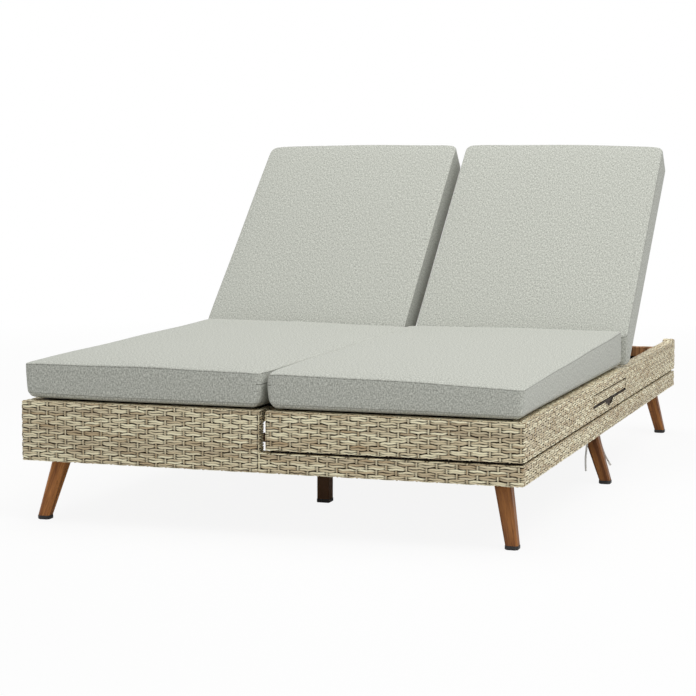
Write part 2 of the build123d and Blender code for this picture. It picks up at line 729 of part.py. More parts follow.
slot_shares = [1 - k / slot_steps for k in range(slot_steps + 1)]
rack_front = foot_y - rack_margin
rack_back = flat_y + rack_margin
rack_low = foot_z - rack_below
rack_high = deck_under - rack_top_gap
slot_lift = slot_radius - prop_radius - slot_seat_gap
with BuildPart() as rack_plates:
    for side in (-1, 1):
        for face, inside in ((side_inner, -1), (inner_rail_far, 1)):
            near, far = sorted((face, face + inside * rack_thickness))
            half_block(side, (near, rack_front, rack_low), (far, rack_back, rack_high))
    with BuildSketch(Plane(origin=(-half_width, 0, 0), x_dir=FORWARD, z_dir=RIGHT)) as slots:
        for begin, end in zip(slot_shares, slot_shares[1:]):
            y0, z0 = foot_point(begin)
            y1, z1 = foot_point(end)
            turn = math.degrees(math.atan2(z1 - z0, y1 - y0))
            with Locations(Location(((y0 + y1) / 2, (z0 + z1) / 2 + slot_lift, 0), (0, 0, turn))):
                SlotCenterToCenter(math.hypot(y1 - y0, z1 - z0), 2 * slot_radius)
        for share in notch_shares:
            y, z = foot_point(share)
            with Locations((y, z - notch_depth)):
                Circle(notch_radius)
    extrude(amount=frame_width, mode=Mode.SUBTRACT)
keep("rack_plates", rack_plates)


# Cushions: lofts through level-bottomed sections with round corners, a crown and drawn-in sides

def cushion_section(plane, left, right, low, high, radius, crown, swell):
    """One section of a cushion, across its length."""
    middle = (left + right) / 2
    half_turn = radius * (1 - math.sqrt(0.5))
    with BuildSketch(plane) as section:
        with BuildLine():
            Line((left + radius, low), (right - radius, low))
            ThreePointArc((right - radius, low), (right - half_turn, low + half_turn), (right, low + radius))
            ThreePointArc((right, low + radius), (right + swell, (low + high) / 2), (right, high - radius))
            ThreePointArc((right, high - radius), (right - half_turn, high - half_turn),
                          (right - radius, high))
            ThreePointArc((right - radius, high), (middle, high + crown), (left + radius, high))
            ThreePointArc((left + radius, high), (left + half_turn, high - half_turn), (left, high - radius))
            ThreePointArc((left, high - radius), (left - swell, (low + high) / 2), (left, low + radius))
            ThreePointArc((left, low + radius), (left + half_turn, low + half_turn), (left + radius, low))
        make_face()
    return section.sketch


def cushion_stations(start, stop, radius):
    """Places along a cushion with the share of the end rounding and of the length at each."""
    turns = [share * math.pi / 2 for share in end_turn_shares]
    ends = [(radius * (1 - math.cos(turn)), 1 - math.sin(turn)) for turn in turns]
    stations = [(start + offset, share) for offset, share in ends]
    stations += [(start + (stop - start) * share, 0) for share in station_shares]
    stations += [(stop - offset, share) for offset, share in reversed(ends)]
    return stations


def cushion(side, plane_at, start, stop, inner, outer, low, thickness, crown):
    """A crowned cushion of one half, lofted along the direction that plane_at gives."""
    left, right = sorted((side * inner, side * outer))
    sections = []
    for place, inset_share in cushion_stations(start, stop, cushion_round):
        belly = math.sin(math.pi * (place - start) / (stop - start))
        tuck = cushion_round * inset_share
        rise = crown_end_share + (1 - crown_end_share) * math.sqrt(max(belly, 0))
        inset = tuck + cushion_draw_in * belly
        sections.append(cushion_section(
            plane_at(place), left + inset, right - inset, low + tuck, low + thickness - tuck,
            cushion_round * (1 - inset_share * end_corner_share), crown * rise, cushion_swell))
    with BuildPart() as built:
        loft(sections, ruled=True)
    return built


def seat_plane(y):
    """The plane across a seat cushion."""
    return Plane(origin=(0, y, 0), x_dir=RIGHT, z_dir=FORWARD * -1)


def back_cushion_plane(u):
    """The plane across a back cushion."""
    return Plane(origin=back_point(0, u, 0), x_dir=RIGHT, z_dir=UP_BACK * -1)


# The seat and back cushions meet on one slanted plane when the back is raised
seat_low = rail_top + cushion_clear
back_low = back_tube / 2 + back_weave + cushion_clear
crossing_u = (seat_low - hinge_z - back_low * math.cos(recline)) / math.sin(recline)
seat_rear_low_y = back_point(0, crossing_u, back_low).Y - cushion_meet_gap
slant = math.atan(seat_rear_slope_share)
MEET = Vector(0, math.cos(slant), math.sin(slant))
meet_point = Vector(0, seat_rear_low_y, seat_low)
cut_size = frame_width + overrun
for side, word in ((-1, "left"), (1, "right")):
    whole_seat = cushion(side, seat_plane, -half_length + seat_front_gap, seat_rear_low_y + cushion_round,
                         seat_middle_gap, half_width - seat_side_inset, seat_low, seat_thickness, seat_crown)
    with BuildPart() as seat_cushion:
        add(whole_seat.part)
        split(bisect_by=Plane(origin=meet_point, z_dir=MEET), keep=Keep.BOTTOM)
    keep(word + "_seat_cushion", seat_cushion)
    whole_back = cushion(side, back_cushion_plane, back_start, back_length + back_overhang, back_middle_gap,
                         half_width + back_side_proud, back_low, back_thickness, back_crown)
    with BuildPart() as back_cushion:
        add(whole_back.part)
        split(bisect_by=Plane(origin=meet_point + MEET * cushion_meet_gap, z_dir=MEET), keep=Keep.TOP)
    keep(word + "_back_cushion", back_cushion)


# Cushion tie: a saddle of tape over the middle cross tube, with a limp tail at each side of the leg

def soft_radii(points):
    """A radius for each corner of a tail, as large as its two runs allow."""
    radii = []
    for before, corner, after in zip(points, points[1:], points[2:]):
        first = Vector(*corner) - Vector(*before)
        second = Vector(*after) - Vector(*corner)
        turn = math.radians(first.get_angle(second))
        radii.append(arc_share * min(first.length, second.length) / math.tan(turn / 2))
    return radii


def tail(name, points):
    """A tube along straight runs joined by tangent arcs."""
    radii = soft_radii(points)
    with BuildPart() as built:
        with BuildLine() as route:
            FilletPolyline(*points, radius=radii)
        path = route.wires()[0]
        with BuildSketch(Plane(origin=path @ 0, z_dir=path % 0)):
            Circle(tie_radius)
        sweep()
    print(name, "radii", [round(r, 1) for r in radii], "length", round(path.length, 1),
          "volume over section", round(built.part.volume / (math.pi * tie_radius ** 2), 1))
    keep(name, built)


tie_x = side_inner - tie_inset
middle_tube_top = middle_frame_bottom + cross_tube
half_tube = cross_tube / 2
saddle_low = middle_tube_top - tie_saddle_width - tie_saddle_wall
with BuildPart() as tie_saddle:
    block((tie_x - tie_saddle_width / 2, middle_leg_y - half_tube - tie_saddle_wall, saddle_low),
          (tie_x + tie_saddle_width / 2, middle_leg_y + half_tube + tie_saddle_wall,
           middle_tube_top + tie_saddle_wall))
    block((tie_x - tie_saddle_width, middle_leg_y - half_tube, saddle_low - overrun),
          (tie_x + tie_saddle_width, middle_leg_y + half_tube, middle_tube_top), mode=Mode.SUBTRACT)
keep("tie_saddle", tie_saddle)

tail_z = (saddle_low + middle_tube_top) / 2
front_exit = middle_leg_y - half_tube - tie_saddle_wall
rear_exit = middle_leg_y + half_tube + tie_saddle_wall
# Each hanging point is given from the saddle's middle, across and along, and up from the floor
front_hang = [(-0.5, -45.0, 145.0), (0.0, -50.5, 119.0), (-2.0, -50.0, 92.0), (-4.5, -52.0, 64.0),
              (-1.5, -54.0, 38.0)]
rear_hang = [(5.0, 45.0, 144.0), (10.5, 48.0, 120.0), (16.5, 49.0, 93.0), (27.0, 48.0, 65.0),
             (42.5, 49.0, 39.8)]
tail("tie_tail_front", [(tie_x, front_exit, tail_z), (tie_x, front_exit - tie_lead, tail_z)]
     + [(tie_x + x, middle_leg_y + y, z) for x, y, z in front_hang])
tail("tie_tail_rear", [(tie_x, rear_exit, tail_z), (tie_x, rear_exit + tie_lead, tail_z)]
     + [(tie_x + x, middle_leg_y + y, z) for x, y, z in rear_hang])

print("pieces", len(made))
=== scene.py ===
"""Looks for the double chaise lounger, in metres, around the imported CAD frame."""
import json
import math

import bpy
import numpy as np
from mathutils import Matrix, Vector


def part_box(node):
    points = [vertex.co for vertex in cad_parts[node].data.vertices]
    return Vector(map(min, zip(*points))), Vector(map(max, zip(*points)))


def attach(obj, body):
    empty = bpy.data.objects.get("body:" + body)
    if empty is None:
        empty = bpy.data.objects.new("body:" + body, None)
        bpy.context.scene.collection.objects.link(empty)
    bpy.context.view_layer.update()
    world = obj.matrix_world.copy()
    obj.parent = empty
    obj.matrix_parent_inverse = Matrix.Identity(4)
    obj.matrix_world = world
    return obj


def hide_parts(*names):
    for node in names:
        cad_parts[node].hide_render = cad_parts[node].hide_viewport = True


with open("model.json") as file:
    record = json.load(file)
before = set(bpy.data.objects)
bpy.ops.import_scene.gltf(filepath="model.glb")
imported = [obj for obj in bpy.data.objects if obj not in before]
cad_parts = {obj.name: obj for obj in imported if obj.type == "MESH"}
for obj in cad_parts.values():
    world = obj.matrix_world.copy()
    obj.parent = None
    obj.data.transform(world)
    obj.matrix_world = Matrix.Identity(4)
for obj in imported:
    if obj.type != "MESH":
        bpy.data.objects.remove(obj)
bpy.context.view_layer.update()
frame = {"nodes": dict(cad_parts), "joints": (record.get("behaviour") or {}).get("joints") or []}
nodes = frame["nodes"]

# Sizes that the frame gives
rail_low, rail_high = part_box("left_side_weave")
band_low, band_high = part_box("side_band_weave")
panel_low, panel_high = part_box("right_side_weave")
head_low, head_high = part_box("left_head_weave")
inner_low, inner_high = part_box("left_inner_weave")
drawer_low, drawer_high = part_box("tray_front")
half_length = rail_high.y
outer_x = -rail_low.x
rail_depth = rail_high.x - rail_low.x
gap_edge = -inner_high.x
hinge = frame["joints"][0]["pos_m"]


# Tools for modelling by hand

def set_up(thing, **settings):
    """Give a thing these settings."""
    for key, value in settings.items():
        setattr(thing, key, value)
    return thing


def alone(*pieces):
    """Select only these pieces, the last one active."""
    bpy.ops.object.select_all(action="DESELECT")
    for piece in pieces:
        piece.select_set(True)
        bpy.context.view_layer.objects.active = piece
    return pieces[-1]


def fresh(add, name, **how):
    """Add one of Blender's primitives with nothing else selected, named and at the origin."""
    bpy.ops.object.select_all(action="DESELECT")
    add(**how)
    piece = bpy.context.object
    piece.name = name
    bpy.ops.object.transform_apply(location=True, rotation=True, scale=True)
    return piece


def finish_modifier(piece, kind, **settings):
    """Give a piece a modifier with these settings and apply it."""
    alone(piece)
    modifier = set_up(piece.modifiers.new(kind.title(), kind), **settings)
    bpy.ops.object.modifier_apply(modifier=modifier.name)


def joined(name, *pieces):
    """Join pieces into one and name it."""
    alone(*reversed(pieces))
    if len(pieces) > 1:
        bpy.ops.object.join()
    bpy.context.object.name = name
    return bpy.context.object


def twin(piece, name):
    """A copy of a piece with a mesh of its own."""
    copy = piece.copy()
    copy.data = piece.data.copy()
    copy.name = name
    bpy.context.collection.objects.link(copy)
    return copy


def values(rows, key="co", width=3):
    """One value of each row of a mesh's data, as an array."""
    flat = np.empty(len(rows) * width)
    rows.foreach_get(key, flat)
    return flat.reshape(-1, width)


def places(piece):
    """The places of a mesh's points as an array of rows."""
    return values(piece.data.vertices)


def move_to(piece, rows):
    """Put a mesh's points at these places."""
    piece.data.vertices.foreach_set("co", np.ascontiguousarray(rows, dtype=float).ravel())
    piece.data.update()


def keep_pairs(piece, name, pairs):
    """Keep two values of each point as a UV map."""
    corners = np.empty(len(piece.data.loops), dtype=int)
    piece.data.loops.foreach_get("vertex_index", corners)
    layer = piece.data.uv_layers.new(name=name)
    layer.data.foreach_set("uv", np.ascontiguousarray(pairs[corners], dtype=float).ravel())


def pick_faces(piece, chosen):
    """Mark these faces of a piece for the next edit."""
    bpy.context.tool_settings.mesh_select_mode = (False, False, True)
    piece.data.polygons.foreach_set("select", chosen)


def edit(piece, operator, whole=True, **how):
    """Run an operator of edit mode on a whole piece, or on the faces that are picked."""
    alone(piece)
    bpy.ops.object.mode_set(mode="EDIT")
    if whole:
        bpy.ops.mesh.select_all(action="SELECT")
    operator(**how)
    bpy.ops.object.mode_set(mode="OBJECT")


def placed(name, data, matrix=None):
    """A new object in the scene for a camera, a lamp or a curve."""
    thing = bpy.data.objects.new(name, data)
    bpy.context.scene.collection.objects.link(thing)
    thing.matrix_world = matrix or Matrix.Identity(4)
    return thing


def on_frame(piece, body, slot, *replaced):
    """Fix a finished piece to its CAD body and hide the nodes that it stands for. Its finish, slot, is not
    used.
    """
    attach(piece, body)
    if replaced:
        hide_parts(*replaced)
    return piece


# Shader building blocks

def feed(tree, socket, value):
    """Link a socket, or set its own value."""
    if isinstance(value, bpy.types.NodeSocket):
        tree.links.new(value, socket)
    else:
        socket.default_value = value


def node(tree, kind, **settings):
    """A node whose settings and inputs are given by name, or an input by i and its number."""
    made = tree.nodes.new("ShaderNode" + kind)
    for key, value in settings.items():
        if key[0].islower() and hasattr(made, key):
            setattr(made, key, value)
        else:
            feed(tree, made.inputs[int(key[1:]) if key[0] == "i" else key.replace("_", " ")], value)
    return made


def new_group(name, numbers=(), colours=(), vectors=()):
    """An empty shader group with these inputs, which gives a colour, a roughness and a height."""
    group = bpy.data.node_groups.new(name, "ShaderNodeTree")
    for kind, sockets in (("Float", numbers), ("Color", colours), ("Vector", vectors)):
        for socket in sockets:
            group.interface.new_socket(socket, in_out="INPUT", socket_type="NodeSocket" + kind)
    for socket, kind in (("Color", "Color"), ("Roughness", "Float"), ("Height", "Float")):
        group.interface.new_socket(socket, in_out="OUTPUT", socket_type="NodeSocket" + kind)
    return group, group.nodes.new("NodeGroupInput").outputs


def give(group, colour, roughness, height):
    """Finish a group with what it gives."""
    out = group.nodes.new("NodeGroupOutput")
    for name, socket in (("Color", colour), ("Roughness", roughness), ("Height", height)):
        group.links.new(socket, out.inputs[name])
    return group


def math_node(tree, operation, a, b=0.0):
    """One step of reckoning."""
    return node(tree, "Math", operation=operation, i0=a, i1=b).outputs[0]


def times(tree, a, b):
    """A product."""
    return math_node(tree, "MULTIPLY", a, b)


def plus(tree, total, *others):
    """A sum."""
    for other in others:
        total = math_node(tree, "ADD", total, other)
    return total


def blend_colour(tree, share, low, high, mode="MIX"):
    """A mix of two colours."""
    return node(tree, "Mix", data_type="RGBA", blend_type=mode, i0=share, i6=low, i7=high).outputs[2]


def span(tree, value, low, high, to_low=0.0, to_high=1.0):
    """A value carried from one span to another, held at both ends."""
    return node(tree, "MapRange", Value=value, From_Min=low, From_Max=high, To_Min=to_low,
                To_Max=to_high).outputs[0]


def triple(tree, x, y, z=0.0):
    """Three values as a vector."""
    return node(tree, "CombineXYZ", X=x, Y=y, Z=z).outputs[0]


def parts_of(tree, vector):
    """The three values of a vector."""
    return node(tree, "SeparateXYZ", Vector=vector).outputs


def stretched(tree, vector, lengthwise):
    """A place whose height counts for this share."""
    return node(tree, "VectorMath", operation="MULTIPLY", i0=vector, i1=(1.0, 1.0, lengthwise)).outputs[0]


def noise_at(tree, vector, scale, detail=2.0):
    """Soft noise of a scale at a place."""
    return node(tree, "TexNoise", Vector=vector, Scale=scale, Detail=detail).outputs[0]


def streaked_noise(tree, x, x_scale, y, y_scale, detail=1.0):
    """Soft noise with a scale of its own along and across."""
    return noise_at(tree, triple(tree, times(tree, x, x_scale), times(tree, y, y_scale)), 1.0, detail)


def own_value(tree, x, y):
    """A random value of its own for each pair of whole numbers."""
    return node(tree, "TexWhiteNoise", noise_dimensions="2D", Vector=triple(tree, x, y)).outputs["Value"]


def srgb(*levels, tone=1.0):
    """A colour written as it looks on a screen, 0 to 255, and darkened to this tone."""
    shares = [level / 255 for level in levels]
    return (*(tone * (s / 12.92 if s <= 0.04045 else ((s + 0.055) / 1.055) ** 2.4) for s in shares), 1.0)


def bare_tree(owner):
    """The node tree of a new material or world, with nothing in it."""
    owner.use_nodes = True
    owner.node_tree.nodes.clear()
    return owner.node_tree


def surface(name, **principled):
    """A material with the shader's own values and nothing else."""
    material = bpy.data.materials.new(name)
    tree = bare_tree(material)
    shader = node(tree, "BsdfPrincipled", **principled)
    node(tree, "OutputMaterial", Surface=shader.outputs[0])
    return material, tree, shader


def dress(tree, shader, given, strength, distance):
    """Link what a group gives to the shader."""
    tree.links.new(given["Color"], shader.inputs["Base Color"])
    tree.links.new(given["Roughness"], shader.inputs["Roughness"])
    bump = node(tree, "Bump", Strength=strength, Distance=distance, Height=given["Height"])
    tree.links.new(bump.outputs[0], shader.inputs["Normal"])


def put_group(tree, group, **settings):
    """A group placed in a material with its own values."""
    return node(tree, "Group", node_tree=group, **settings).outputs


# Resin strand: each strand has its own tone, which drifts along it, with fine streaks from drawing
# and a tone for each crossing. Painted shade darkens it towards its edges and where it dips.

def make_strand_group():
    numbers = ("Along", "Across", "Strand Width", "Crossing", "Edge", "Dip")
    group, given = new_group("drawn_resin", numbers, ("Pale", "Deep", "Tint"))
    along, across = given["Along"], given["Across"]
    number = math_node(group, "FLOOR", math_node(group, "DIVIDE", across, given["Strand Width"]))
    own = node(group, "TexWhiteNoise", noise_dimensions="1D", W=number).outputs["Value"]
    length = math_node(group, "FLOOR", plus(group, times(group, along, 1.7), times(group, own, 9.0)))
    piece = own_value(group, number, length)
    drift = streaked_noise(group, along, 14.0, number, 3.7)
    streaks = streaked_noise(group, along, 60.0, across, 1800.0, 2.0)
    row = math_node(group, "FLOOR", times(group, number, 0.5))
    stagger = times(group, math_node(group, "PINGPONG", row, 1.0), 0.5)
    step = plus(group, math_node(group, "DIVIDE", along, given["Crossing"]), stagger, 0.5)
    crossing = own_value(group, number, math_node(group, "FLOOR", step))
    tone = plus(group, times(group, piece, 0.35), times(group, crossing, 0.45), times(group, drift, 0.2),
                times(group, streaks, 0.3))
    colour = blend_colour(group, span(group, tone, 0.4, 1.1), given["Pale"], given["Deep"])
    odd = span(group, piece, 0.74, 0.8, 0.0, 0.55)
    colour = blend_colour(group, odd, colour, given["Tint"])
    # painted shade: the strand darkens towards its edges and in its dips, for the shade there
    painted_shade = times(group, span(group, given["Edge"], 0.6, 1.0, 1.0, 0.26),
                  span(group, given["Dip"], 0.25, 0.85, 1.0, 0.3))
    colour = blend_colour(group, 1.0, colour, painted_shade, "MULTIPLY")
    return give(group, colour, span(group, streaks, 0.3, 0.7, 0.36, 0.52), streaks)


strand_group = make_strand_group()


def strand_material(name, crosswise, width, crossing, shine, pale, deep, tint):
    """Resin strands that run along the sheet, or across it, with a length for each crossing."""
    material, tree, shader = surface(name, IOR=1.48, Specular_IOR_Level=shine)
    run, form = (parts_of(tree, node(tree, "UVMap", uv_map=layer).outputs[0])
                 for layer in ("strand_run", "strand_form"))
    given = put_group(tree, strand_group, Along=run[int(crosswise)], Across=run[int(not crosswise)],
                      Strand_Width=width, Crossing=crossing, Edge=form[0], Dip=form[1], Pale=pale,
                      Deep=deep, Tint=tint)
    dress(tree, shader, given, 0.35, 0.0004)
    return material


row_pitch = 0.0107
stake_pitch = 0.0225
row_material = strand_material("woven_rows", False, row_pitch / 2, 2 * stake_pitch, 0.3,
                               srgb(255, 247, 213), srgb(158, 122, 78), srgb(200, 188, 160))
stake_material = strand_material("woven_stakes", True, stake_pitch / 8, 2 * row_pitch, 0.3,
                                 srgb(255, 246, 214), srgb(190, 158, 112), srgb(210, 196, 166))
# painted shade: the core's near-black tones stand for the shade in the holes and gaps of the weave
shade_core_material = strand_material("weave_shade_core", True, stake_pitch / 4, 2 * row_pitch, 0.05,
                                srgb(62, 46, 32), srgb(18, 13, 9), srgb(30, 22, 15))
# painted shade: the strands' backs on the head rails' inner lips take darkened tones for the shade inside
# the rail
painted_shade_back_material = strand_material("weave_back_painted_shade", True, stake_pitch / 5, 0.2, 0.1,
                                srgb(176, 128, 88), srgb(50, 33, 22), srgb(96, 70, 48))


# Timber: growth rings along the leg, fine pores, and painted shadow that darkens the top of the leg under
# the frame

def make_timber_group():
    group, given = new_group("timber_grain", colours=("Pale", "Deep", "Pore"), vectors=("Place",))
    place = given["Place"]
    grain = stretched(group, place, 0.07)
    warp = noise_at(group, grain, 30.0)
    rings = node(group, "TexNoise", Vector=grain, Scale=85.0, Detail=3.0, Distortion=0.6).outputs[0]
    pores = noise_at(group, stretched(group, place, 0.03), 900.0, 1.0)
    colour = blend_colour(group, span(group, rings, 0.34, 0.66), given["Pale"], given["Deep"])
    colour = blend_colour(group, span(group, warp, 0.35, 0.7, 0.0, 0.5), colour, given["Deep"])
    colour = blend_colour(group, span(group, pores, 0.58, 0.72, 0.0, 0.65), colour, given["Pore"])
    # painted shadow: darker towards the top of the leg, under the frame
    painted_top_shadow = span(group, parts_of(group, place)[2], 0.06, 0.14, 1.0, 0.6)
    colour = blend_colour(group, 1.0, colour, painted_top_shadow, "MULTIPLY")
    height = math_node(group, "SUBTRACT", rings, times(group, pores, 0.6))
    return give(group, colour, span(group, pores, 0.4, 0.7, 0.42, 0.62), height)


timber_group = make_timber_group()


def timber_material(name, lean, tone):
    """Timber whose grain follows a leg's lean, given in metres of travel for each metre of height."""
    material, tree, shader = surface(name, IOR=1.5, Specular_IOR_Level=0.3)
    place = node(tree, "Mapping", Vector=node(tree, "TexCoord").outputs["Object"],
                 Rotation=(math.atan(lean.y), -math.atan(lean.x), 0.0)).outputs[0]
    given = put_group(tree, timber_group, Place=place, Pale=srgb(206, 138, 74, tone=tone),
                      Deep=srgb(138, 84, 42, tone=tone), Pore=srgb(80, 46, 24, tone=tone))
    dress(tree, shader, given, 0.25, 0.0006)
    return material


# Coated and plated metal

def make_coat_group():
    group, given = new_group("powder_coat", ("Grain Size",), ("Coat", "Rubbed"), ("Place",))
    grain = noise_at(group, given["Place"], given["Grain Size"])
    cloud = noise_at(group, given["Place"], 9.0, 3.0)
    colour = blend_colour(group, span(group, cloud, 0.35, 0.75, 0.0, 0.5), given["Coat"], given["Rubbed"])
    colour = blend_colour(group, span(group, grain, 0.6, 0.8, 0.0, 0.3), colour, given["Rubbed"])
    return give(group, colour, span(group, cloud, 0.3, 0.7, 0.4, 0.58), grain)


coat_group = make_coat_group()


def coat_material(name, coat, rubbed, grain_size, metallic, bump, shine=0.5):
    """A coated, plated or moulded finish with a fine skin."""
    material, tree, shader = surface(name, Metallic=metallic, Specular_IOR_Level=shine)
    given = put_group(tree, coat_group, Place=node(tree, "TexCoord").outputs["Object"], Coat=coat,
                      Rubbed=rubbed, Grain_Size=grain_size)
    dress(tree, shader, given, bump, 0.0003)
    return material


steel_material = coat_material("dark_steel", srgb(98, 66, 38), srgb(112, 80, 52), 2600.0, 0.0, 0.35, 0.3)
zinc_material = coat_material("zinc_plate", srgb(176, 178, 176), srgb(150, 152, 152), 700.0, 1.0, 0.1)
pad_material = coat_material("foot_rubber", srgb(38, 37, 36), srgb(54, 53, 52), 1500.0, 0.0, 0.3)
# painted shade: the packing strip is a real piece, and its near-black tone stands for the shade in the gap
# under the upper right frame
gap_shade_material = coat_material("packing_gap_shade", srgb(24, 17, 12), srgb(34, 26, 20), 1500.0, 0.0, 0.3, 0.05)
tape_material = coat_material("tie_tape", srgb(254, 254, 250), srgb(240, 240, 236), 2400.0, 0.0, 0.5)


# Camera, at the photograph's place
camera_place = Vector((1.5212, -4.9745, 0.8297))
camera_yaw = 0.3212
camera_pitch = 0.0962
camera_roll = 0.0018
camera_data = set_up(bpy.data.cameras.new("camera"), sensor_width=36.0, lens=101.05)
bpy.context.scene.camera = placed("camera", camera_data, (
    Matrix.Translation(camera_place) @ Matrix.Rotation(camera_yaw, 4, "Z")
    @ Matrix.Rotation(math.pi / 2 - camera_pitch, 4, "X") @ Matrix.Rotation(camera_roll, 4, "Z")))


# Cushion tie: two tails of flat white tape, which repeat the routes of the CAD
tape_width = 0.005
tape_thickness = 0.0011
hem_length = 0.009
hem_overhang = 0.0006
front_tail_route = [(0.541, -0.0535, 0.15925), (0.541, -0.0715, 0.15925), (0.5405, -0.086, 0.145),
                    (0.541, -0.0915, 0.119), (0.539, -0.091, 0.092), (0.5365, -0.093, 0.064),
                    (0.5395, -0.095, 0.038)]
rear_tail_route = [(0.541, -0.0285, 0.15925), (0.541, -0.0105, 0.15925), (0.546, 0.004, 0.144),
                   (0.5515, 0.007, 0.12), (0.5575, 0.008, 0.093), (0.568, 0.007, 0.065),
                   (0.5835, 0.008, 0.0398)]


def tape_tail(name, route, replaced):
    """A flat tape hanging along a smooth route, with a folded and stitched hem at its end."""
    curve = set_up(bpy.data.curves.new(name, "CURVE"), dimensions="3D", bevel_depth=tape_thickness / 2,
                   extrude=(tape_width - tape_thickness) / 2, bevel_resolution=2, use_fill_caps=True)
    spline = curve.splines.new("NURBS")
    spline.points.add(len(route) - 1)
    for point, place in zip(spline.points, route):
        set_up(point, co=(*place, 1.0), tilt=math.pi / 2)
    set_up(spline, order_u=3, use_endpoint_u=True, resolution_u=12)
    tail = placed(name, curve)
    tail.data.materials.append(tape_material)
    on_frame(tail, "base", "tie_tape", replaced)
    end = Vector(route[-1])
    down = (end - Vector(route[-2])).normalized()
    hem = fresh(bpy.ops.mesh.primitive_cube_add, name + "_hem", size=1)
    hem_size = Vector((tape_width + hem_overhang, tape_thickness * 2, hem_length))
    turn = Vector((0, 0, 1)).rotation_difference(down).to_matrix()
    move_to(hem, [turn @ Vector([c * s for c, s in zip(v.co, hem_size)]) + end - down * hem_size.z / 2
                  for v in hem.data.vertices])
    finish_modifier(hem, "BEVEL", width=0.0005, segments=2)
    hem.data.materials.append(tape_material)
    on_frame(hem, "base", "tie_tape")


tape_tail("front_tie_tape", front_tail_route, "tie_tail_front")
tape_tail("rear_tie_tape", rear_tail_route, "tie_tail_rear")


# Weave: rows of two half-round strands that pass over one pair of stakes and under the next
strand_rise = 0.0015
row_dip = 0.0027
core_depth = 0.0034
back_depth = 0.0008
row_strand = 0.0052
row_strand_offset = 0.00266
row_squeeze = 0.62
row_draw_in = 0.0009
row_sink = 0.0001
stake_strand = 0.0019
stake_strand_offset = 0.001
row_half_run = (0.0, 0.008, 0.0148, 0.0193, 0.0225)
row_half_dip = (0.0, 0.0001, 0.0005, 0.0016, row_dip)
row_half_pinch = (0.0, 0.06, 0.34, 0.8, 1.0)
stake_run = (-0.0035, 0.0035, 0.0071, 0.0143, 0.0179)
stake_dip = (0.0, 0.0, 0.0023, 0.0023, 0.0)
row_round = (-0.5, -0.2, 0.2, 0.5)
stake_round = (-0.5, 0, 0.5)
strand_turn = 2.399
# How strands wander: by how much, in how many waves, and by which share of each strand's own turn
strand_wander = ((0.0006, 103, 1), (0.0004, 47, 2), (0.0008, 241, 5))
strand_stand = 0.0002


def laid_grid(name, along, across):
    """A grid laid flat, with its lines at these places."""
    grid = fresh(bpy.ops.mesh.primitive_grid_add, name, x_subdivisions=len(along) - 1,
                 y_subdivisions=len(across) - 1, size=1, calc_uvs=False)
    rows = places(grid)
    column = np.rint((rows[:, 0] + 0.5) * (len(along) - 1)).astype(int)
    line = np.rint((rows[:, 1] + 0.5) * (len(across) - 1)).astype(int)
    move_to(grid, np.column_stack([np.take(along, column), np.take(across, line), np.zeros(len(rows))]))
    return grid


def strand(name, run, dips, pinches, width, round_shares, crosswise, start, middle, draw_in=0.0):
    """One strand of the weave: a ribbon with a round back that dips along its run.

    Where it is pinched it draws in towards its twin and narrows, which leaves the holes beside the stakes.
    """
    ribbon = laid_grid(name, run, [width * share for share in round_shares])
    rows = places(ribbon)
    edge = np.abs(rows[:, 1]) / (width / 2)
    dip = np.interp(rows[:, 0], run, dips)
    pinch = np.interp(rows[:, 0], run, pinches)
    keep_pairs(ribbon, "strand_form", np.column_stack([edge, dip / row_dip]))
    height = -dip - strand_rise * edge ** 2
    narrow = 1 - (1 - row_squeeze) * pinch
    along, across = rows[:, 0] + start, rows[:, 1] * narrow + middle + draw_in * pinch
    if crosswise:
        move_to(ribbon, np.column_stack([across, along, height]))
        edit(ribbon, bpy.ops.mesh.flip_normals)
    else:
        move_to(ribbon, np.column_stack([along, across, height]))
    ribbon.data.materials.append(stake_material if crosswise else row_material)
    return ribbon


def weave_cell():
    """Two rows by two stakes, which repeat without a seam."""
    row_run = list(row_half_run) + [2 * stake_pitch - s for s in reversed(row_half_run[:-1])]
    row_dips = [dip + row_sink for dip in row_half_dip + row_half_dip[-2::-1]]
    row_pinches = row_half_pinch + row_half_pinch[-2::-1]
    strands = []
    for k in range(2):
        for side in (-1, 1):
            middle = row_pitch * (k + 0.5) + side * row_strand_offset
            strands.append(strand("row", row_run, row_dips, row_pinches, row_strand, row_round,
                                  False, k * stake_pitch, middle, -side * row_draw_in))
            middle = stake_pitch * (k + 1) + side * stake_strand_offset
            strands.append(strand("stake", stake_run, stake_dip, (0,) * len(stake_run), stake_strand,
                                  stake_round, True, row_pitch * (k + 0.5), middle))
    return joined("weave_cell", *strands)


cell = weave_cell()


def ruffle(sheet, coarse):
    """Let each strand wander and stand a little differently, as hand weaving does."""
    run, rise, lift = places(sheet).T
    turn = np.floor(rise / (row_pitch * coarse / 2)) * strand_turn
    wander = sum(size * np.sin(run * waves + share * turn) for size, waves, share in strand_wander)
    stand = strand_stand * (np.sin(run * 71 + 3 * turn) - 1)
    move_to(sheet, np.column_stack([run, rise + wander, lift + stand]))


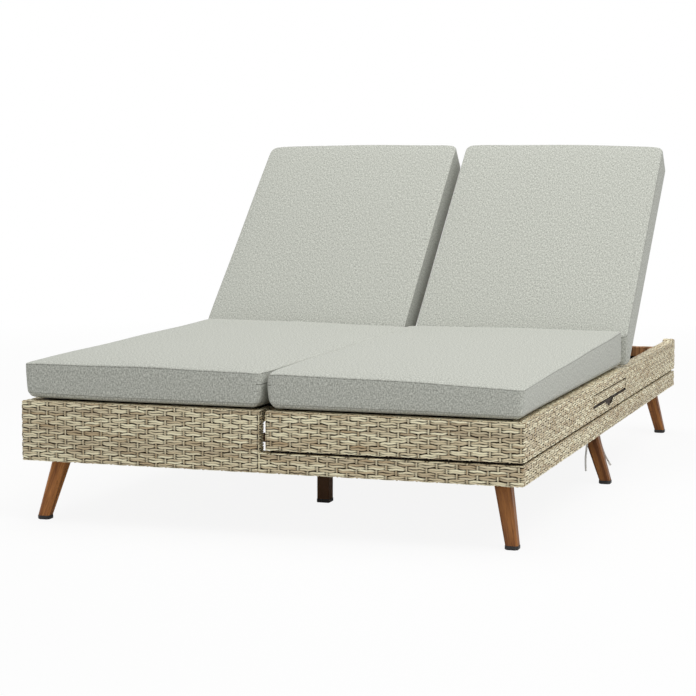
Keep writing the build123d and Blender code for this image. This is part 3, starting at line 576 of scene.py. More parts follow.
def woven_sheet(name, run, rise, coarse=1.0):
    """Flat weave from run[0] to run[1] along the rows and rise[0] to rise[1] across them."""
    sheet = twin(cell, name)
    width, height = 2 * stake_pitch * coarse, 2 * row_pitch * coarse
    first = (math.floor(run[0] / width) - 1, math.floor(rise[0] / height) - 1)
    copies = (math.ceil(run[1] / width) - first[0] + 1, math.ceil(rise[1] / height) - first[1] + 1)
    rows = places(sheet)
    move_to(sheet, rows * (coarse, coarse, 1) + (first[0] * width, first[1] * height, 0))
    for count, offset in zip(copies, ((width, 0, 0), (0, height, 0))):
        finish_modifier(sheet, "ARRAY", count=count, use_relative_offset=False, use_constant_offset=True,
                        constant_offset_displace=offset, use_merge_vertices=True, merge_threshold=1e-5)
    mark_strand_run(sheet)
    ruffle(sheet, coarse)
    for axis, limits in ((Vector((1, 0, 0)), run), (Vector((0, 1, 0)), rise)):
        for level, way in zip(limits, (-1, 1)):
            edit(sheet, bpy.ops.mesh.bisect, plane_co=axis * level, plane_no=axis * way, clear_outer=True)
    return sheet


def core_sheet(name, run_marks, rise_marks, depth=core_depth, material=shade_core_material):
    """The core under the strands, as a plain grid, dark with painted shade."""
    core = laid_grid(name, sorted(set(run_marks)), sorted(set(rise_marks)))
    core.data.transform(Matrix.Translation((0, 0, -depth)))
    core.data.materials.append(material)
    return core


def mark_strand_run(piece):
    """Keep the flat places, as they are before the strands wander, as the strand materials' UV map."""
    if "strand_run" not in piece.data.uv_layers:
        keep_pairs(piece, "strand_run", places(piece)[:, :2])


# Rails: a flat sheet is wrapped round a rail's profile, leg by leg, with mitred corners
corner_radius = 0.004
corner_steps = 5
corner_arc = corner_radius * math.pi / 4
arc_loss = corner_radius - corner_arc
mitre_reach = 0.1
head_corner_radius = 0.014
head_rise = 0.009
head_rise_length = 0.052
cut_margin = 0.02


def rail_profile(low, high, low_lip, high_lip):
    """Round a rail from its inner low lip, under, up the outer face, over and down its inner high lip.

    Gives the length along it, the depth into the frame, the height and the outward normal,
    with the length counted from the outer face's lower edge.
    """
    corners = [Vector(corner) for corner in (
        (rail_depth, low + low_lip), (rail_depth, low), (0, low), (0, high), (rail_depth, high),
        (rail_depth, high - high_lip))]
    line, normals, edge = corners[:1], [Vector((1, 0))], 0
    for before, corner, after in zip(corners, corners[1:], corners[2:]):
        into, out = (corner - before).normalized(), (after - corner).normalized()
        if out.length == 0:
            continue
        middle = corner - into * corner_radius + out * corner_radius
        for k in range(corner_steps + 1):
            turn = math.pi / 2 * k / corner_steps
            normal = -out * math.cos(turn) + into * math.sin(turn)
            line.append(middle + normal * corner_radius)
            normals.append(normal)
            if corner is corners[2] and k == corner_steps // 2:
                edge = len(line) - 1
    line.append(corners[-1])
    normals.append(normals[-1])
    lengths = np.concatenate([[0], np.cumsum([(b - a).length for a, b in zip(line, line[1:])])])
    return {"length": lengths - lengths[edge], "depth": np.array([p[0] for p in line]),
            "height": np.array([p[1] for p in line]), "out": -np.array([n[0] for n in normals]),
            "up": np.array([n[1] for n in normals])}


def leg_between(start, end, outward, run_start, mitred=(False, False), reach=mitre_reach):
    """One straight leg of a rail, with the place along the rows at which it starts."""
    start, end = Vector((*start, 0)), Vector((*end, 0))
    length = (end - start).length
    return {"origin": np.array(start), "along": np.array((end - start).normalized()),
            "outward": np.array((*outward, 0.0)), "length": length, "mitred": mitred, "reach": reach,
            "run": (run_start, run_start + length - arc_loss * sum(mitred))}


def wrap(piece, leg, profile):
    """Carry a flat sheet onto one straight leg of a rail, round its profile and into its mitred corners."""
    mark_strand_run(piece)
    run, rise, lift = places(piece).T
    depth, height, out, up = (np.interp(rise, profile["length"], profile[key])
                              for key in ("depth", "height", "out", "up"))
    along_axis, outward, reach = leg["along"], leg["outward"], leg["reach"]
    sharp = np.clip(depth / corner_radius, 0, 1)
    sharp = (sharp * sharp * (3 - 2 * sharp))[:, None]
    from_start = run - leg["run"][0]
    spot = np.outer(from_start + arc_loss * leg["mitred"][0], along_axis) - np.outer(depth, outward)
    facing = np.tile(outward, (len(run), 1))
    ends = ((from_start, 1, leg["mitred"][0], np.zeros(3)),
            (leg["run"][1] - run, -1, leg["mitred"][1], along_axis * leg["length"]))
    for distance, way, mitred, corner in ends:
        if not mitred:
            continue
        near = (distance < reach)[:, None]
        turn = math.pi / 4 * np.clip(1 - distance / corner_arc, 0, 1)
        turned = np.outer(np.cos(turn), outward) - way * np.outer(np.sin(turn), along_axis)
        slant = distance * (reach + arc_loss) / reach + depth * (1 - distance / reach)
        on_mitre = np.outer(slant, way * along_axis) - np.outer(depth, outward)
        on_arc = (np.outer(corner_radius + np.maximum(distance - corner_arc, 0), way * along_axis)
                  - corner_radius * outward + turned * (corner_radius - depth)[:, None])
        spot = np.where(near, corner + on_arc * (1 - sharp) + on_mitre * sharp, spot)
        facing = np.where(near, turned * (1 - sharp) + outward * sharp, facing)
    facing = facing * out[:, None] + np.outer(up, (0, 0, 1))
    move_to(piece, leg["origin"] + spot + np.outer(height, (0, 0, 1)) + facing * lift[:, None])
    return piece


def leg_marks(leg):
    """Places along a leg at which its core needs a line."""
    start, stop = leg["run"]
    bends = [0, corner_arc / 3, 2 * corner_arc / 3, corner_arc]
    if leg["reach"] < (stop - start) / 2:
        bends.append(leg["reach"])
    if leg["length"] > 1:
        bends += [head_rise_length * k / 5 for k in range(1, 6)]
    return [start + b for b in bends] + [stop - b for b in bends]


def cut_opening(piece, outline):
    """Cut a convex opening, given along and across the rows, out of a flat sheet."""
    outline = np.array(outline)
    low, high, middle = outline.min(0) - cut_margin, outline.max(0) + cut_margin, outline.mean(0)
    sides = []
    for a, b in zip(outline, np.roll(outline, -1, axis=0)):
        normal = np.array([b[1] - a[1], a[0] - b[0]])
        normal *= np.sign(normal @ (a - middle))
        sides.append((a, normal))
        centres = values(piece.data.polygons, "center")[:, :2]
        pick_faces(piece, ((centres > low) & (centres < high)).all(1))
        edit(piece, bpy.ops.mesh.bisect, False, plane_co=(*a, 0), plane_no=(*normal, 0))
    centres = values(piece.data.polygons, "center")[:, :2]
    pick_faces(piece, np.all([(centres - a) @ normal < 0 for a, normal in sides], axis=0))
    edit(piece, bpy.ops.mesh.delete, False, type="FACE")


def woven_leg(name, leg, profile, rise=None, openings=(), bare_lip=0.0):
    """Strands and core on one leg of a rail. bare_lip of its inner high lip shows the strands' backs."""
    rise = rise or (profile["length"][0], profile["length"][-1])
    strands = woven_sheet(name, leg["run"], (rise[0], rise[1] - bare_lip))
    marks = [t for t in profile["length"] if rise[0] < t < rise[1]] + list(rise)
    core = core_sheet(name + "_core", leg_marks(leg), marks)
    for strand_opening, core_opening in openings:
        cut_opening(strands, strand_opening)
        cut_opening(core, core_opening)
    parts = [strands, core]
    if bare_lip:
        start = rise[1] - bare_lip
        marks = [start] + [t for t in profile["length"] if t > start]
        # painted shade: the backs are dark for the shade inside the rail
        parts.append(core_sheet(name + "_backs", leg_marks(leg), marks, back_depth, painted_shade_back_material))
    return [wrap(part, leg, profile) for part in parts]


def finish_weave(name, parts, body, *replaced):
    """Join the parts of a woven piece, smooth its strands and fix it to the frame."""
    piece = joined(name, *parts)
    alone(piece)
    bpy.ops.object.shade_smooth()
    return on_frame(piece, body, "wicker", *replaced)


def flat_rise(low, high):
    """The rise of a rail's outer face, without its rounded edges."""
    edge = 0.0015
    return edge, high - low - edge


def corner_turn(side, start, end, outward, run, mitred, reach=mitre_reach):
    """A leg whose places are given for the right half, turned over for the left one."""
    if side > 0:
        return leg_between(start, end, outward, run, mitred, reach)
    start, end = (-end[0], end[1]), (-start[0], start[1])
    return leg_between(start, end, (-outward[0], outward[1]), run, mitred[::-1], reach)


def half_legs(side, front_gap, stepped_head, run=0.0):
    """The legs of one half by name, in the order in which the rows run round it, from a run."""
    x_out, x_in, y_out = outer_x, outer_x - rail_depth, half_length
    reach_in = y_out - rail_depth
    legs = []
    if front_gap > 0:
        legs.append(("front_gap", (front_gap, -reach_in), (front_gap, -y_out), (-1, 0), (False, False)))
    legs.append(("front", (front_gap, -y_out), (x_out, -y_out), (0, -1), (False, True)))
    legs.append(("side", (x_out, -y_out), (x_out, y_out), (1, 0), (True, True)))
    if stepped_head:
        legs.append(("side_head", (x_out, y_out), (x_in, y_out), (0, 1), (True, False), rail_depth))
        legs.append(("head", (x_in, y_out), (front_gap, y_out), (0, 1), (False, False)))
        legs.append(("head_gap", (front_gap, y_out), (front_gap, reach_in), (-1, 0), (False, False)))
    else:
        legs.append(("head", (x_out, y_out), (front_gap, y_out), (0, 1), (True, False)))
    made = {}
    for name, start, end, outward, mitred, *reach in legs if side > 0 else reversed(legs):
        made[name] = corner_turn(side, start, end, outward, run, mitred, *reach)
        run = made[name]["run"][1]
    return made


def over_top(profile):
    """The rise of a rail's underside, outer face and top, without its inner lips."""
    inside = profile["depth"] < rail_depth - corner_radius
    return profile["length"][inside][0] - corner_arc, profile["length"][inside][-1] + corner_arc


def ease_head_corner(parts):
    """Raise the upper edge at the head end of a side rail, round its corner, and give the parts back."""
    for part in parts:
        spot = places(part)
        past = np.clip((spot[:, 1:] - (half_length, rail_high.z)) / head_corner_radius + 1, 0, 1)
        share = past.max(1) / np.maximum(np.linalg.norm(past, axis=1), 1e-9)
        eased = (half_length, rail_high.z) + head_corner_radius * (past * share[:, None] - 1)
        spot[:, 1:] = np.where((past.min(1) > 0)[:, None], eased, spot[:, 1:])
        toward_head = np.clip(1 - (half_length - spot[:, 1]) / head_rise_length, 0, 1) ** 1.5
        above = np.clip((spot[:, 2] - panel_low.z) / (rail_high.z - panel_low.z), 0, 1)
        spot[:, 2] += head_rise * toward_head * above
        move_to(part, spot)
    return parts


def weave_half(word, legs, side_span, head_span, low_lip, openings=()):
    """The strands of one half's side, front and head rails, from and to these heights."""
    tall, stepped = (rail_profile(*heights, low_lip, lip_high) for heights in (side_span, head_span))
    rails = {
        "side": ease_head_corner(woven_leg("side", legs["side"], tall, None, openings)
                                 + woven_leg("side_head", legs["side_head"], tall, over_top(tall))),
        "front": woven_leg("front", legs["front"], tall)
        + woven_leg("front_gap", legs["front_gap"], tall, flat_rise(*side_span)),
        "head": woven_leg("head", legs["head"], stepped, bare_lip=bare_lip)
        + woven_leg("head_gap", legs["head_gap"], stepped, flat_rise(*head_span))}
    for rail, parts in rails.items():
        finish_weave(f"{word}_{rail}_strands", parts, "base", f"{word}_{rail}_weave")


# Left half: full-height rails on three sides
lip_high = rail_depth - 0.004
bare_lip = lip_high + 0.016
left_legs = half_legs(-1, gap_edge, True)
weave_half("left", left_legs, (rail_low.z, rail_high.z), (head_low.z, head_high.z), lip_high)

# Right half: the low band carries on round, and the upper frame stands over it
band_profile = rail_profile(band_low.z, band_high.z, band_high.z - band_low.z, 0)
band_legs = half_legs(1, -gap_edge, False, left_legs["front"]["run"][1])
for part in ("front", "side", "head"):
    finish_weave(part + "_band_strands", woven_leg(part, band_legs[part], band_profile), "base",
                 part + "_band_weave")
panel_lip = 0.018
panel_legs = half_legs(1, gap_edge, True)


def on_panel(y, z):
    """The place of a point of the right side in its flat sheet."""
    leg = panel_legs["side"]
    return leg["run"][0] + y + half_length - arc_loss, z - panel_low.z - arc_loss


tray_gap = 0.001
strand_setback = 0.004
slot_low = drawer_low.z - tray_gap
scoop_middle = (drawer_low.y + drawer_high.y) / 2 - 0.0085
scoop_width = 0.1
scoop_depth = 0.013
scoop_chords = 10
scoop_radius = (scoop_width ** 2 / 4 + scoop_depth ** 2) / (2 * scoop_depth)


def slot_edge(margin):
    """The slot of the tray front, this much wider than the front itself."""
    low = (drawer_low.y - margin, drawer_low.z - margin)
    high = (drawer_high.y + margin, drawer_high.z + margin)
    return [low, (high[0], low[1]), high, (low[0], high[1])]


def scoop_edge(margin=0.0):
    """The bow of the finger scoop, from its front end to its rear end."""
    half_turn = math.asin(scoop_width / 2 / scoop_radius)
    centre = slot_low - scoop_depth + scoop_radius
    turns = [half_turn * (2 * k / scoop_chords - 1) for k in range(scoop_chords + 1)]
    reach = scoop_radius + margin
    return [(scoop_middle + reach * math.sin(t), centre - reach * math.cos(t)) for t in turns]


openings = [[[on_panel(y, z) for y, z in edge] for edge in pair]
            for pair in ((slot_edge(tray_gap + strand_setback), slot_edge(tray_gap)),
                         (scoop_edge(strand_setback), scoop_edge()))]
weave_half("right", panel_legs, (panel_low.z, panel_high.z), (panel_low.z, head_high.z), panel_lip, openings)

# Finger scoop: a lining behind its bow, dark with painted shade for the recess
scoop_recess = 0.014
edge_spots = scoop_edge()
shade_lining = laid_grid("scoop_shade_lining", list(range(scoop_chords + 1)), [0.0, 1.0, 2.0])
column, layer = np.rint(places(shade_lining)[:, :2]).astype(int).T
bow = np.array(edge_spots)[column]
into = np.where(layer > 0, scoop_recess, core_depth)
move_to(shade_lining, np.column_stack([outer_x - into, bow[:, 0], np.where(layer > 1, slot_low, bow[:, 1])]))
shade_lining.data.materials.append(shade_core_material)
on_frame(shade_lining, "base", "wicker")

# Inner rails along the middle gap
inner_profile = rail_profile(inner_low.z, inner_high.z, inner_high.z - inner_low.z, 0)
for side, word in ((-1, "left"), (1, "right")):
    leg = corner_turn(side, (gap_edge, inner_high.y), (gap_edge, inner_low.y), (-1, 0), 0.0, (False, False))
    finish_weave(word + "_inner_strands", woven_leg("inner", leg, inner_profile), "base",
                 word + "_inner_weave")

# Tray front: the same rows carry on across it when it is shut
drawer_row_shift = 0.0002
end_low_margin = 0.0003
end_high_margin = 0.0023
drawer_profile = rail_profile(drawer_low.z, drawer_high.z, drawer_high.z - drawer_low.z, 0)
drawer_profile["length"] = drawer_profile["length"] + drawer_low.z - panel_low.z - drawer_row_shift
run_front = on_panel(drawer_low.y, 0)[0]
drawer_back = outer_x - rail_depth
drawer_leg = leg_between((outer_x, drawer_low.y), (outer_x, drawer_high.y), (1, 0), run_front)
front_end = leg_between((drawer_back, drawer_low.y), (outer_x, drawer_low.y), (0, -1),
                        run_front - rail_depth)
rear_end = leg_between((outer_x, drawer_high.y), (drawer_back, drawer_high.y), (0, 1), drawer_leg["run"][1])
end_rise = (drawer_low.z - panel_low.z + end_low_margin, drawer_high.z - panel_low.z - end_high_margin)
drawer_parts = woven_leg("drawer", drawer_leg, drawer_profile)
for leg in (front_end, rear_end):
    drawer_parts += woven_leg("drawer_end", leg, drawer_profile, end_rise)
finish_weave("tray_front_strands", drawer_parts, "tray", "tray_front")


# Flat woven panels of the backrests and decks
binding_wall = 0.004
binding_round = 0.0012


def lay_flat(piece, origin, along, across):
    """Carry a flat sheet onto a plane given by its origin and its two directions."""
    mark_strand_run(piece)
    run, rise, lift = places(piece).T
    along, across = np.array(along), np.array(across)
    move_to(piece, np.array(origin) + np.outer(run, along) + np.outer(rise, across)
            + np.outer(lift, np.cross(along, across)))
    return piece


def board(name, size, drop, material):
    """A box of a size and finish, let down from the origin by this drop."""
    box = fresh(bpy.ops.mesh.primitive_cube_add, name, size=1, calc_uvs=False)
    move_to(box, (places(box) + 0.5) * size - (0, 0, drop))
    box.data.materials.append(material)
    return box


def woven_panel(name, low, high, origin, along, across, body, replaced, coarse):
    """A flat panel: strands on the face that shows, a core behind them and a bound edge."""
    width, height, thickness = (b - a for a, b in zip(low, high))
    core = board("core", (width, height, thickness - core_depth), thickness, shade_core_material)
    finish_modifier(core, "BEVEL", width=0.0002, segments=1)
    binding = board("binding", (width, height, thickness), thickness, row_material)
    edit(binding, bpy.ops.mesh.select_all, False, action="DESELECT")
    pick_faces(binding, [abs(face.normal.z) > 0.5 for face in binding.data.polygons])
    edit(binding, bpy.ops.mesh.delete, False, type="FACE")
    finish_modifier(binding, "SOLIDIFY", thickness=binding_wall, offset=-1.0)
    finish_modifier(binding, "BEVEL", width=binding_round, segments=2)
    sheet = woven_sheet(name, (0, width), (0, height), coarse)
    parts = [lay_flat(part, origin, along, across) for part in (sheet, core, binding)]
    return finish_weave(name, parts, body, replaced)


recline = -math.radians(frame["joints"][0]["range_deg"][0])
up_back = Vector((0, math.cos(recline), math.sin(recline)))
off_back = Vector((0, -math.sin(recline), math.cos(recline)))


def into_back(place):
    """A place in a raised backrest's own terms: across, up it from the hinge, and square to it."""
    offset = place - Vector((0, hinge[1], hinge[2]))
    return Vector((place.x, offset.dot(up_back), offset.dot(off_back)))


def out_of_back(x, u, v):
    """The place of a point of a raised backrest."""
    return Vector((x, hinge[1], hinge[2])) + up_back * u + off_back * v


for word in ("left", "right"):
    local = np.array([into_back(v.co) for v in nodes[word + "_backrest_weave"].data.vertices])
    low, high = Vector(local.min(0)), Vector(local.max(0))
    origin = out_of_back(high.x, low.y, low.z)
    woven_panel(word + "_backrest_strands", low, high, origin, (-1, 0, 0), up_back, word + "_backrest",
                word + "_backrest_weave", 1.0)
    low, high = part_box(word + "_deck_weave")
    woven_panel(word + "_deck_strands", low, high, (low.x, high.y, low.z), (1, 0, 0), (0, -1, 0), "base",
                word + "_deck_weave", 2.0)


# Cushions: a boxed shape with crisp seams is blown up as cloth between its seams

def make_cloth_group():
    numbers, vectors = ("Low Seam", "High Seam", "Zip"), ("Threads", "Place")
    group, given = new_group("slub_cloth", numbers, ("Pale", "Deep", "Thread"), vectors)
    threads, place = parts_of(group, given["Threads"]), parts_of(group, given["Place"])

    def away_from(seam):
        return math_node(group, "ABSOLUTE", math_node(group, "SUBTRACT", place[2], given[seam]))

    slubs = streaked_noise(group, threads[0], 420.0, threads[1], 150.0)
    weft = streaked_noise(group, threads[0], 170.0, threads[1], 480.0)
    fleck = noise_at(group, given["Threads"], 330.0, 1.0)
    tone = plus(group, times(group, slubs, 0.4), times(group, weft, 0.25), times(group, fleck, 0.35))
    colour = blend_colour(group, span(group, tone, 0.4, 0.6), given["Pale"], given["Deep"])
    # painted shade: a dark line along each boxing seam stands for the shade in its crease; the zip line is
    # the zip's own colour
    seams = [span(group, away_from(seam), 0.0003, 0.0013, 1.0, 0.0) for seam in ("Low Seam", "High Seam")]
    line = times(group, math_node(group, "MAXIMUM", *seams), 0.5)
    zip_length = span(group, math_node(group, "ABSOLUTE", place[0]), 0.013, 0.0145, 1.0, 0.0)
    zip_line = times(group, span(group, away_from("Zip"), 0.0008, 0.0016, 0.8, 0.0), zip_length)
    line = math_node(group, "MAXIMUM", line, zip_line)
    colour = blend_colour(group, line, colour, given["Thread"])
    height = plus(group, times(group, slubs, 0.6), times(group, weft, 0.6))
    height = math_node(group, "SUBTRACT", height, times(group, line, 2.5))
    return give(group, colour, span(group, tone, 0.3, 0.7, 0.86, 0.95), height)


cloth_group = make_cloth_group()


def cloth_material(name, low_seam, high_seam, zip_height):
    """Heathered outdoor cloth with its two boxing seams, drawn as dark lines of painted shade, and the zip
    at its inner end.
    """
    material, tree, shader = surface(name, Sheen_Weight=0.1, Sheen_Roughness=0.5)
    given = put_group(tree, cloth_group, Threads=node(tree, "UVMap", uv_map="threads").outputs[0],
                      Place=node(tree, "Attribute", attribute_name="cloth_place").outputs["Vector"],
                      Pale=srgb(209, 211, 202), Deep=srgb(152, 154, 145), Thread=srgb(78, 78, 70),
                      Low_Seam=low_seam, High_Seam=high_seam, Zip=zip_height)
    dress(tree, shader, given, 0.2, 0.0004)
    return material


edge_steps = (0.0, 0.0014, 0.0028, 0.0042, 0.007, 0.01, 0.014, 0.02)
cushion_pitch = 0.02
top_edge_radius = 0.0042
low_edge_radius = 0.011
crown_end_share = 0.35
crown_kept_for_swelling = 0.005
swelling_cap = (0.002, 0.0015, 0.005)
lean_length = 0.14
far_sag_length = 0.3
far_crown_loss = 0.7
low_rim_width = 0.05
low_narrowing = 0.018
top_meeting = 0.002
meet_slope = 0.42
outer_near_reach = 0.2
inner_side_share = 0.1
top_meeting_share = 0.04
kept_round_share = 0.2
side_facing = 0.72
seam_reach = 1.5
top_seam_drop = 0.0034
low_seam_rise = 0.006
edge_wave = 0.0006
corner_droop_reach = 0.022
front_draw_length = 0.1
sim_frames = 20


def graded(low, high):
    """Places from low to high, close together near both ends."""
    near, far = low + edge_steps[-1], high - edge_steps[-1]
    middle = np.linspace(near, far, max(1, round((far - near) / cushion_pitch)) + 1)
    return [low + s for s in edge_steps[:-1]] + list(middle) + [high - s for s in reversed(edge_steps[:-1])]


def box_skin(name, marks):
    """The six sides of a box as one skin, with its lines at these places on each axis."""
    sides = []
    for axis in range(3):
        first, second = [a for a in range(3) if a != axis]
        for level in (marks[axis][0], marks[axis][-1]):
            side = laid_grid(name, marks[first], marks[second])
            spot = np.full((len(side.data.vertices), 3), level)
            spot[:, first], spot[:, second] = places(side)[:, :2].T
            move_to(side, spot)
            sides.append(side)
    skin = joined(name, *sides)
    edit(skin, bpy.ops.mesh.remove_doubles, threshold=1e-5)
    edit(skin, bpy.ops.mesh.normals_make_consistent, inside=False)
    return skin


def soften_box(rows, low, high, plan_radius):
    """Round a box's corners as seen from above, then its top and bottom edges."""
    middle, half = ((low + high) / 2)[:2], ((high - low) / 2)[:2]
    offset = rows[:, :2] - middle
    past = np.clip(np.abs(offset) - (half - plan_radius), 0, None)
    far = past.max(1)
    way = past / np.maximum(np.linalg.norm(past, axis=1), 1e-9)[:, None]
    height = rows[:, 2].copy()
    for radius, level, sign in ((top_edge_radius, high[2], 1), (low_edge_radius, low[2], -1)):
        out = np.clip(far - (plan_radius - radius), 0, None)
        up = np.clip(sign * (height - level) + radius, 0, None)
        turned = np.maximum(out, up) / np.maximum(np.hypot(out, up), 1e-9)
        both = (out > 0) & (up > 0)
        far = np.where(both, plan_radius - radius + out * turned, far)
        height = np.where(both, level - sign * radius + sign * up * turned, height)
    plan = middle + np.sign(offset) * (np.minimum(np.abs(offset), half - plan_radius) + way * far[:, None])
    return np.column_stack([plan, height])


def blow_up(piece, held):
    """Let a closed cushion swell as cloth under pressure, held at its seams and with no weight."""
    rest = places(piece)
    piece.vertex_groups.new(name="held").add(np.flatnonzero(held).tolist(), 1.0, "REPLACE")
    alone(piece)
    modifier = piece.modifiers.new("Cloth", "CLOTH")
    set_up(modifier.settings, quality=5, mass=0.3, vertex_group_mass="held", tension_stiffness=15,
           compression_stiffness=15, bending_stiffness=0.5, use_pressure=True, uniform_pressure_force=4)
    modifier.settings.effector_weights.gravity = 0
    set_up(modifier.point_cache, frame_start=1, frame_end=sim_frames)
    for step in range(1, sim_frames + 1):
        bpy.context.scene.frame_set(step)
    bpy.ops.object.modifier_apply(modifier=modifier.name)
    bpy.context.scene.frame_set(1)
    cap = np.array(swelling_cap)
    move_to(piece, rest + cap * np.tanh((places(piece) - rest) / cap))


def near_to(distance, reach):
    """1 at a place, falling evenly to 0 at this reach from it."""
    return np.clip(1 - distance / reach, 0, 1)


def shape_cushion(rest, low, high, inset, crown, corner_rises, low_rises, corner_droop, far_sag, front_draw,
                  slopes):
    """Crown, tilt, droop, draw in and lean a softened box, as the words of cushion say."""
    x, y, z = rest.T
    thickness_share = (z - low[2]) / (high[2] - low[2])
    inner, outer = sorted((abs(low[0]), abs(high[0])))
    away = np.sign(low[0] + high[0])
    across = (np.abs(x) - inner) / (outer - inner)
    along = (y - low[1]) / (high[1] - low[1])
    bulge = ((1 - (2 * across - 1) ** 2)
             * (crown_end_share + (1 - crown_end_share) * np.sqrt(np.sin(math.pi * np.clip(along, 0, 1)))))
    near_rise, far_rise = (a + (b - a) * across for a, b in corner_rises)
    tilted = far_rise.max() - near_rise.max() > 0.001
    lift = near_rise + (far_rise - near_rise) * np.clip(along, 0, 1)
    lift += (crown - crown_kept_for_swelling) * bulge * (1 - far_crown_loss * along * tilted)
    rear = near_to(high[1] - y, far_sag_length)
    lift += edge_wave * (np.sin(x * 21 + 1) + np.sin(y * 14 + high[0] * 9))
    corner = np.minimum(rest - low, high - rest)[:, :2]
    lift -= corner_droop * np.exp(-(corner ** 2).sum(1) / corner_droop_reach ** 2)
    z += lift * thickness_share
    rim = near_to(inset, low_rim_width) ** 2
    outer_near = near_to(np.hypot((1 - across) * (outer - inner), y - low[1]), outer_near_reach)
    z += (low_rises[0] + low_rises[1] * outer_near) * rim * (1 - thickness_share)
    if low_rises[0] > 0:
        middle = (low[0] + high[0]) / 2
        x += (middle - x) * low_narrowing * (1 - thickness_share) ** 2
    y -= far_sag * across ** 4 * rear * rear
    near = near_to(y - low[1], front_draw_length)
    round_end = kept_round_share + (1 - kept_round_share) * np.abs(2 * thickness_share - 1) ** 2.5
    x += away * front_draw * near * near * near_to(across, inner_side_share) * round_end
    if low_rises[0] > 0:
        meeting = near_to(across, top_meeting_share) * np.clip(3 * thickness_share - 2, 0, 1) * (1 - near)
        x -= away * top_meeting * meeting
    above = z - low[2]
    ends = near_to(np.column_stack([y - low[1], high[1] - y]), lean_length)
    y += above * (ends * slopes).sum(1)
    return rest


def cushion(node_name, name, body, to_flat, crown, plan_radius, side_inset, **shape):
    """A padded cushion that stands for its CAD solid. to_flat lays it level for the work.

    Of its shape, corner_rises lift the inner and outer corners of its near and its far end. low_rises lift
    the rim of its underside and, by the second value more, the outer near corner of that. slopes lean its
    two ends. corner_droop lowers its corners, far_sag shortens its outer far corner, and front_draw takes
    the near end of its inner side away from the other cushion.
    """
    solid = np.array([to_flat @ v.co for v in nodes[node_name].data.vertices])
    low, high = solid.min(0), solid.max(0)
    high[2] -= crown
    low[0], high[0] = low[0] + side_inset, high[0] - side_inset
    piece = box_skin(name, [graded(a, b) for a, b in zip(low, high)])
    sharp = places(piece)
    inset = np.minimum(sharp - low, high - sharp)[:, :2].min(1)
    reach = top_edge_radius * seam_reach
    seam_band = ((inset < reach) & (sharp[:, 2] > high[2] - reach)
                 | (sharp[:, 2] < low[2] + low_edge_radius))
    rest = soften_box(sharp, low, high, plan_radius)
    keep = piece.data.attributes.new("cloth_place", "FLOAT_VECTOR", "POINT")
    keep.data.foreach_set("vector", (rest - (0, 0, high[2])).ravel())
    move_to(piece, shape_cushion(rest, low, high, inset, crown, **shape))
    blow_up(piece, seam_band)
    finish_modifier(piece, "SUBSURF", levels=1, render_levels=1)
    spot = places(piece)
    spot[:, 2] = np.maximum(spot[:, 2], low[2])
    move_to(piece, spot)
    kept = values(piece.data.attributes["cloth_place"].data, "vector")
    facing = np.abs(values(piece.data.vertices, "normal"))
    threads = np.where(facing[:, :1] > side_facing, kept[:, [1, 2]], kept[:, [0, 1]])
    threads = np.where(facing[:, 1:2] > side_facing, kept[:, [0, 2]], threads)
    keep_pairs(piece, "threads", threads)
    piece.data.transform(to_flat.inverted())
    thickness = high[2] - low[2]
    piece.data.materials.append(cloth_material(name + "_cloth", low_seam_rise - thickness, -top_seam_drop,
                                               -thickness / 3))
    alone(piece)
    bpy.ops.object.shade_smooth()
    on_frame(piece, body, "cushion_fabric", node_name)


seat_crown = 0.014
back_crown = 0.009
seat_rises = {"left": ((0.0045, 0.0065), (0.015, 0.0225)), "right": ((0.0035, -0.0105), (0.0185, 0.0205))}
seat_low_rises = {"left": (0.008, 0.004), "right": (0.008, -0.002)}
lay_back = Matrix.Rotation(-recline, 4, "X") @ Matrix.Translation((0, -hinge[1], -hinge[2]))
meet_in_back = ((math.sin(recline) - meet_slope * math.cos(recline))
                / (math.cos(recline) + meet_slope * math.sin(recline)))
for word in ("left", "right"):
    cushion(word + "_seat_cushion", word + "_seat_pad", "base", Matrix.Identity(4), seat_crown,
            plan_radius=0.013, side_inset=0.0025, corner_rises=seat_rises[word],
            low_rises=seat_low_rises[word], corner_droop=0.001, far_sag=0, front_draw=0.011,
            slopes=(0, -meet_slope))
    cushion(word + "_back_cushion", word + "_back_pad", word + "_backrest", lay_back, back_crown,
            plan_radius=0.02, side_inset=0.005, corner_rises=((0, 0), (0, 0)), low_rises=(0, 0),
            corner_droop=0.003, far_sag=0.01, front_draw=0, slopes=(meet_in_back, 0))


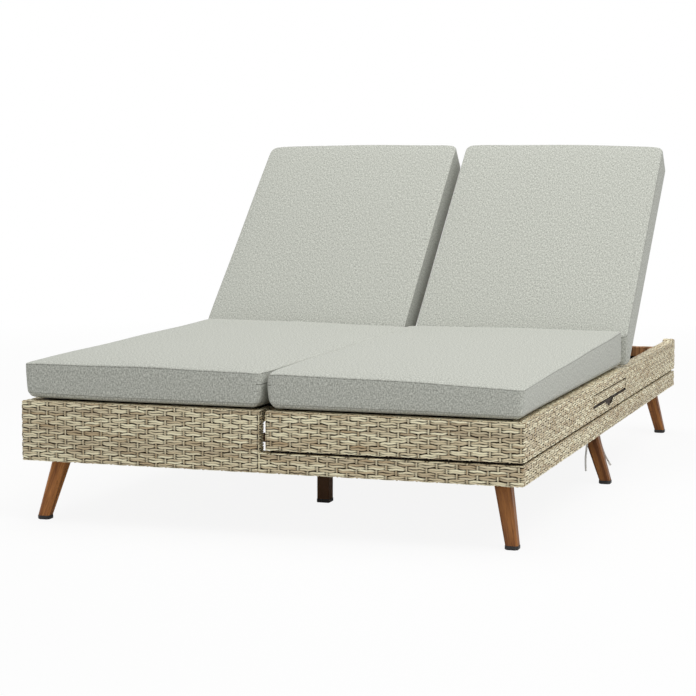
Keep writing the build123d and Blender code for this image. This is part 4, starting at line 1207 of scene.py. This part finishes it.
# Finishes of the CAD nodes that stay
# painted shade: each right-hand leg is darkened by its own share for the shade it stands in under the frame
leg_shade_tones = {"front_right_leg": 0.72, "middle_right_leg": 0.6, "head_right_leg": 0.78}
finishes = {"leg_bolts": zinc_material, "hinge_pins": zinc_material, "foot_pads": pad_material,
            "packing_strip": gap_shade_material, "tie_saddle": tape_material}
for name, piece in nodes.items():
    finish = finishes.get(name, steel_material)
    if name.endswith("_leg"):
        low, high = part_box(name)
        rows = places(piece)
        foot = rows[rows[:, 2] < low.z + 0.001].mean(0)
        top = rows[rows[:, 2] > high.z - 0.001].mean(0)
        lean = Vector((top - foot)[:2]) / (high.z - low.z)
        finish = timber_material(name + "_timber", lean, leg_shade_tones.get(name, 1.0))
    piece.data.materials.clear()
    piece.data.materials.append(finish)
bpy.data.objects.remove(cell)


# Floor, backdrop and soft studio light

def floor_material():
    """A pale floor that shows white to the camera and keeps the shadow."""
    material = bpy.data.materials.new("pale_floor")
    tree = bare_tree(material)
    diffuse = node(tree, "BsdfDiffuse", Color=(0.86, 0.86, 0.86, 1.0))
    white = node(tree, "Emission", Color=(1.0, 1.0, 1.0, 1.0), Strength=1.0)
    away = node(tree, "VectorMath", operation="LENGTH", i0=node(tree, "TexCoord").outputs["Object"])
    white_share = span(tree, away.outputs["Value"], 2.0, 5.0, 0.9, 1.0)
    seen = times(tree, node(tree, "LightPath").outputs["Is Camera Ray"], white_share)
    mix = node(tree, "MixShader", i0=seen, i1=diffuse.outputs[0], i2=white.outputs[0])
    node(tree, "OutputMaterial", Surface=mix.outputs[0])
    return material


floor = fresh(bpy.ops.mesh.primitive_plane_add, "floor", size=60)
floor.data.materials.append(floor_material())

world = bpy.data.worlds.new("studio")
bpy.context.scene.world = world
sky = bare_tree(world)
path = node(sky, "LightPath").outputs
direct = path["Is Camera Ray"]
for ray in ("Is Glossy Ray", "Is Transmission Ray"):
    direct = math_node(sky, "MAXIMUM", direct, path[ray])
world_strength = 0.42
light_level = plus(sky, times(sky, direct, 1.0 - world_strength), world_strength)
background = node(sky, "Background", Color=(1.0, 1.0, 1.0, 1.0), Strength=light_level)
node(sky, "OutputWorld", Surface=background.outputs[0])


def lamp(name, place, target, size, power):
    """A soft square lamp aimed at a place."""
    data = set_up(bpy.data.lights.new(name, "AREA"), shape="SQUARE", size=size, energy=power)
    aim = (Vector(target) - Vector(place)).to_track_quat("-Z", "Y").to_matrix().to_4x4()
    placed(name, data, Matrix.Translation(place) @ aim)


lamp("key_lamp", (2.3, -1.8, 3.8), (0, 0, 0.4), 2.6, 80)
lamp("top_lamp", (-0.4, 0.4, 4.2), (0, 0, 0.3), 3.4, 80)

bpy.context.scene.view_settings.view_transform = "Standard"
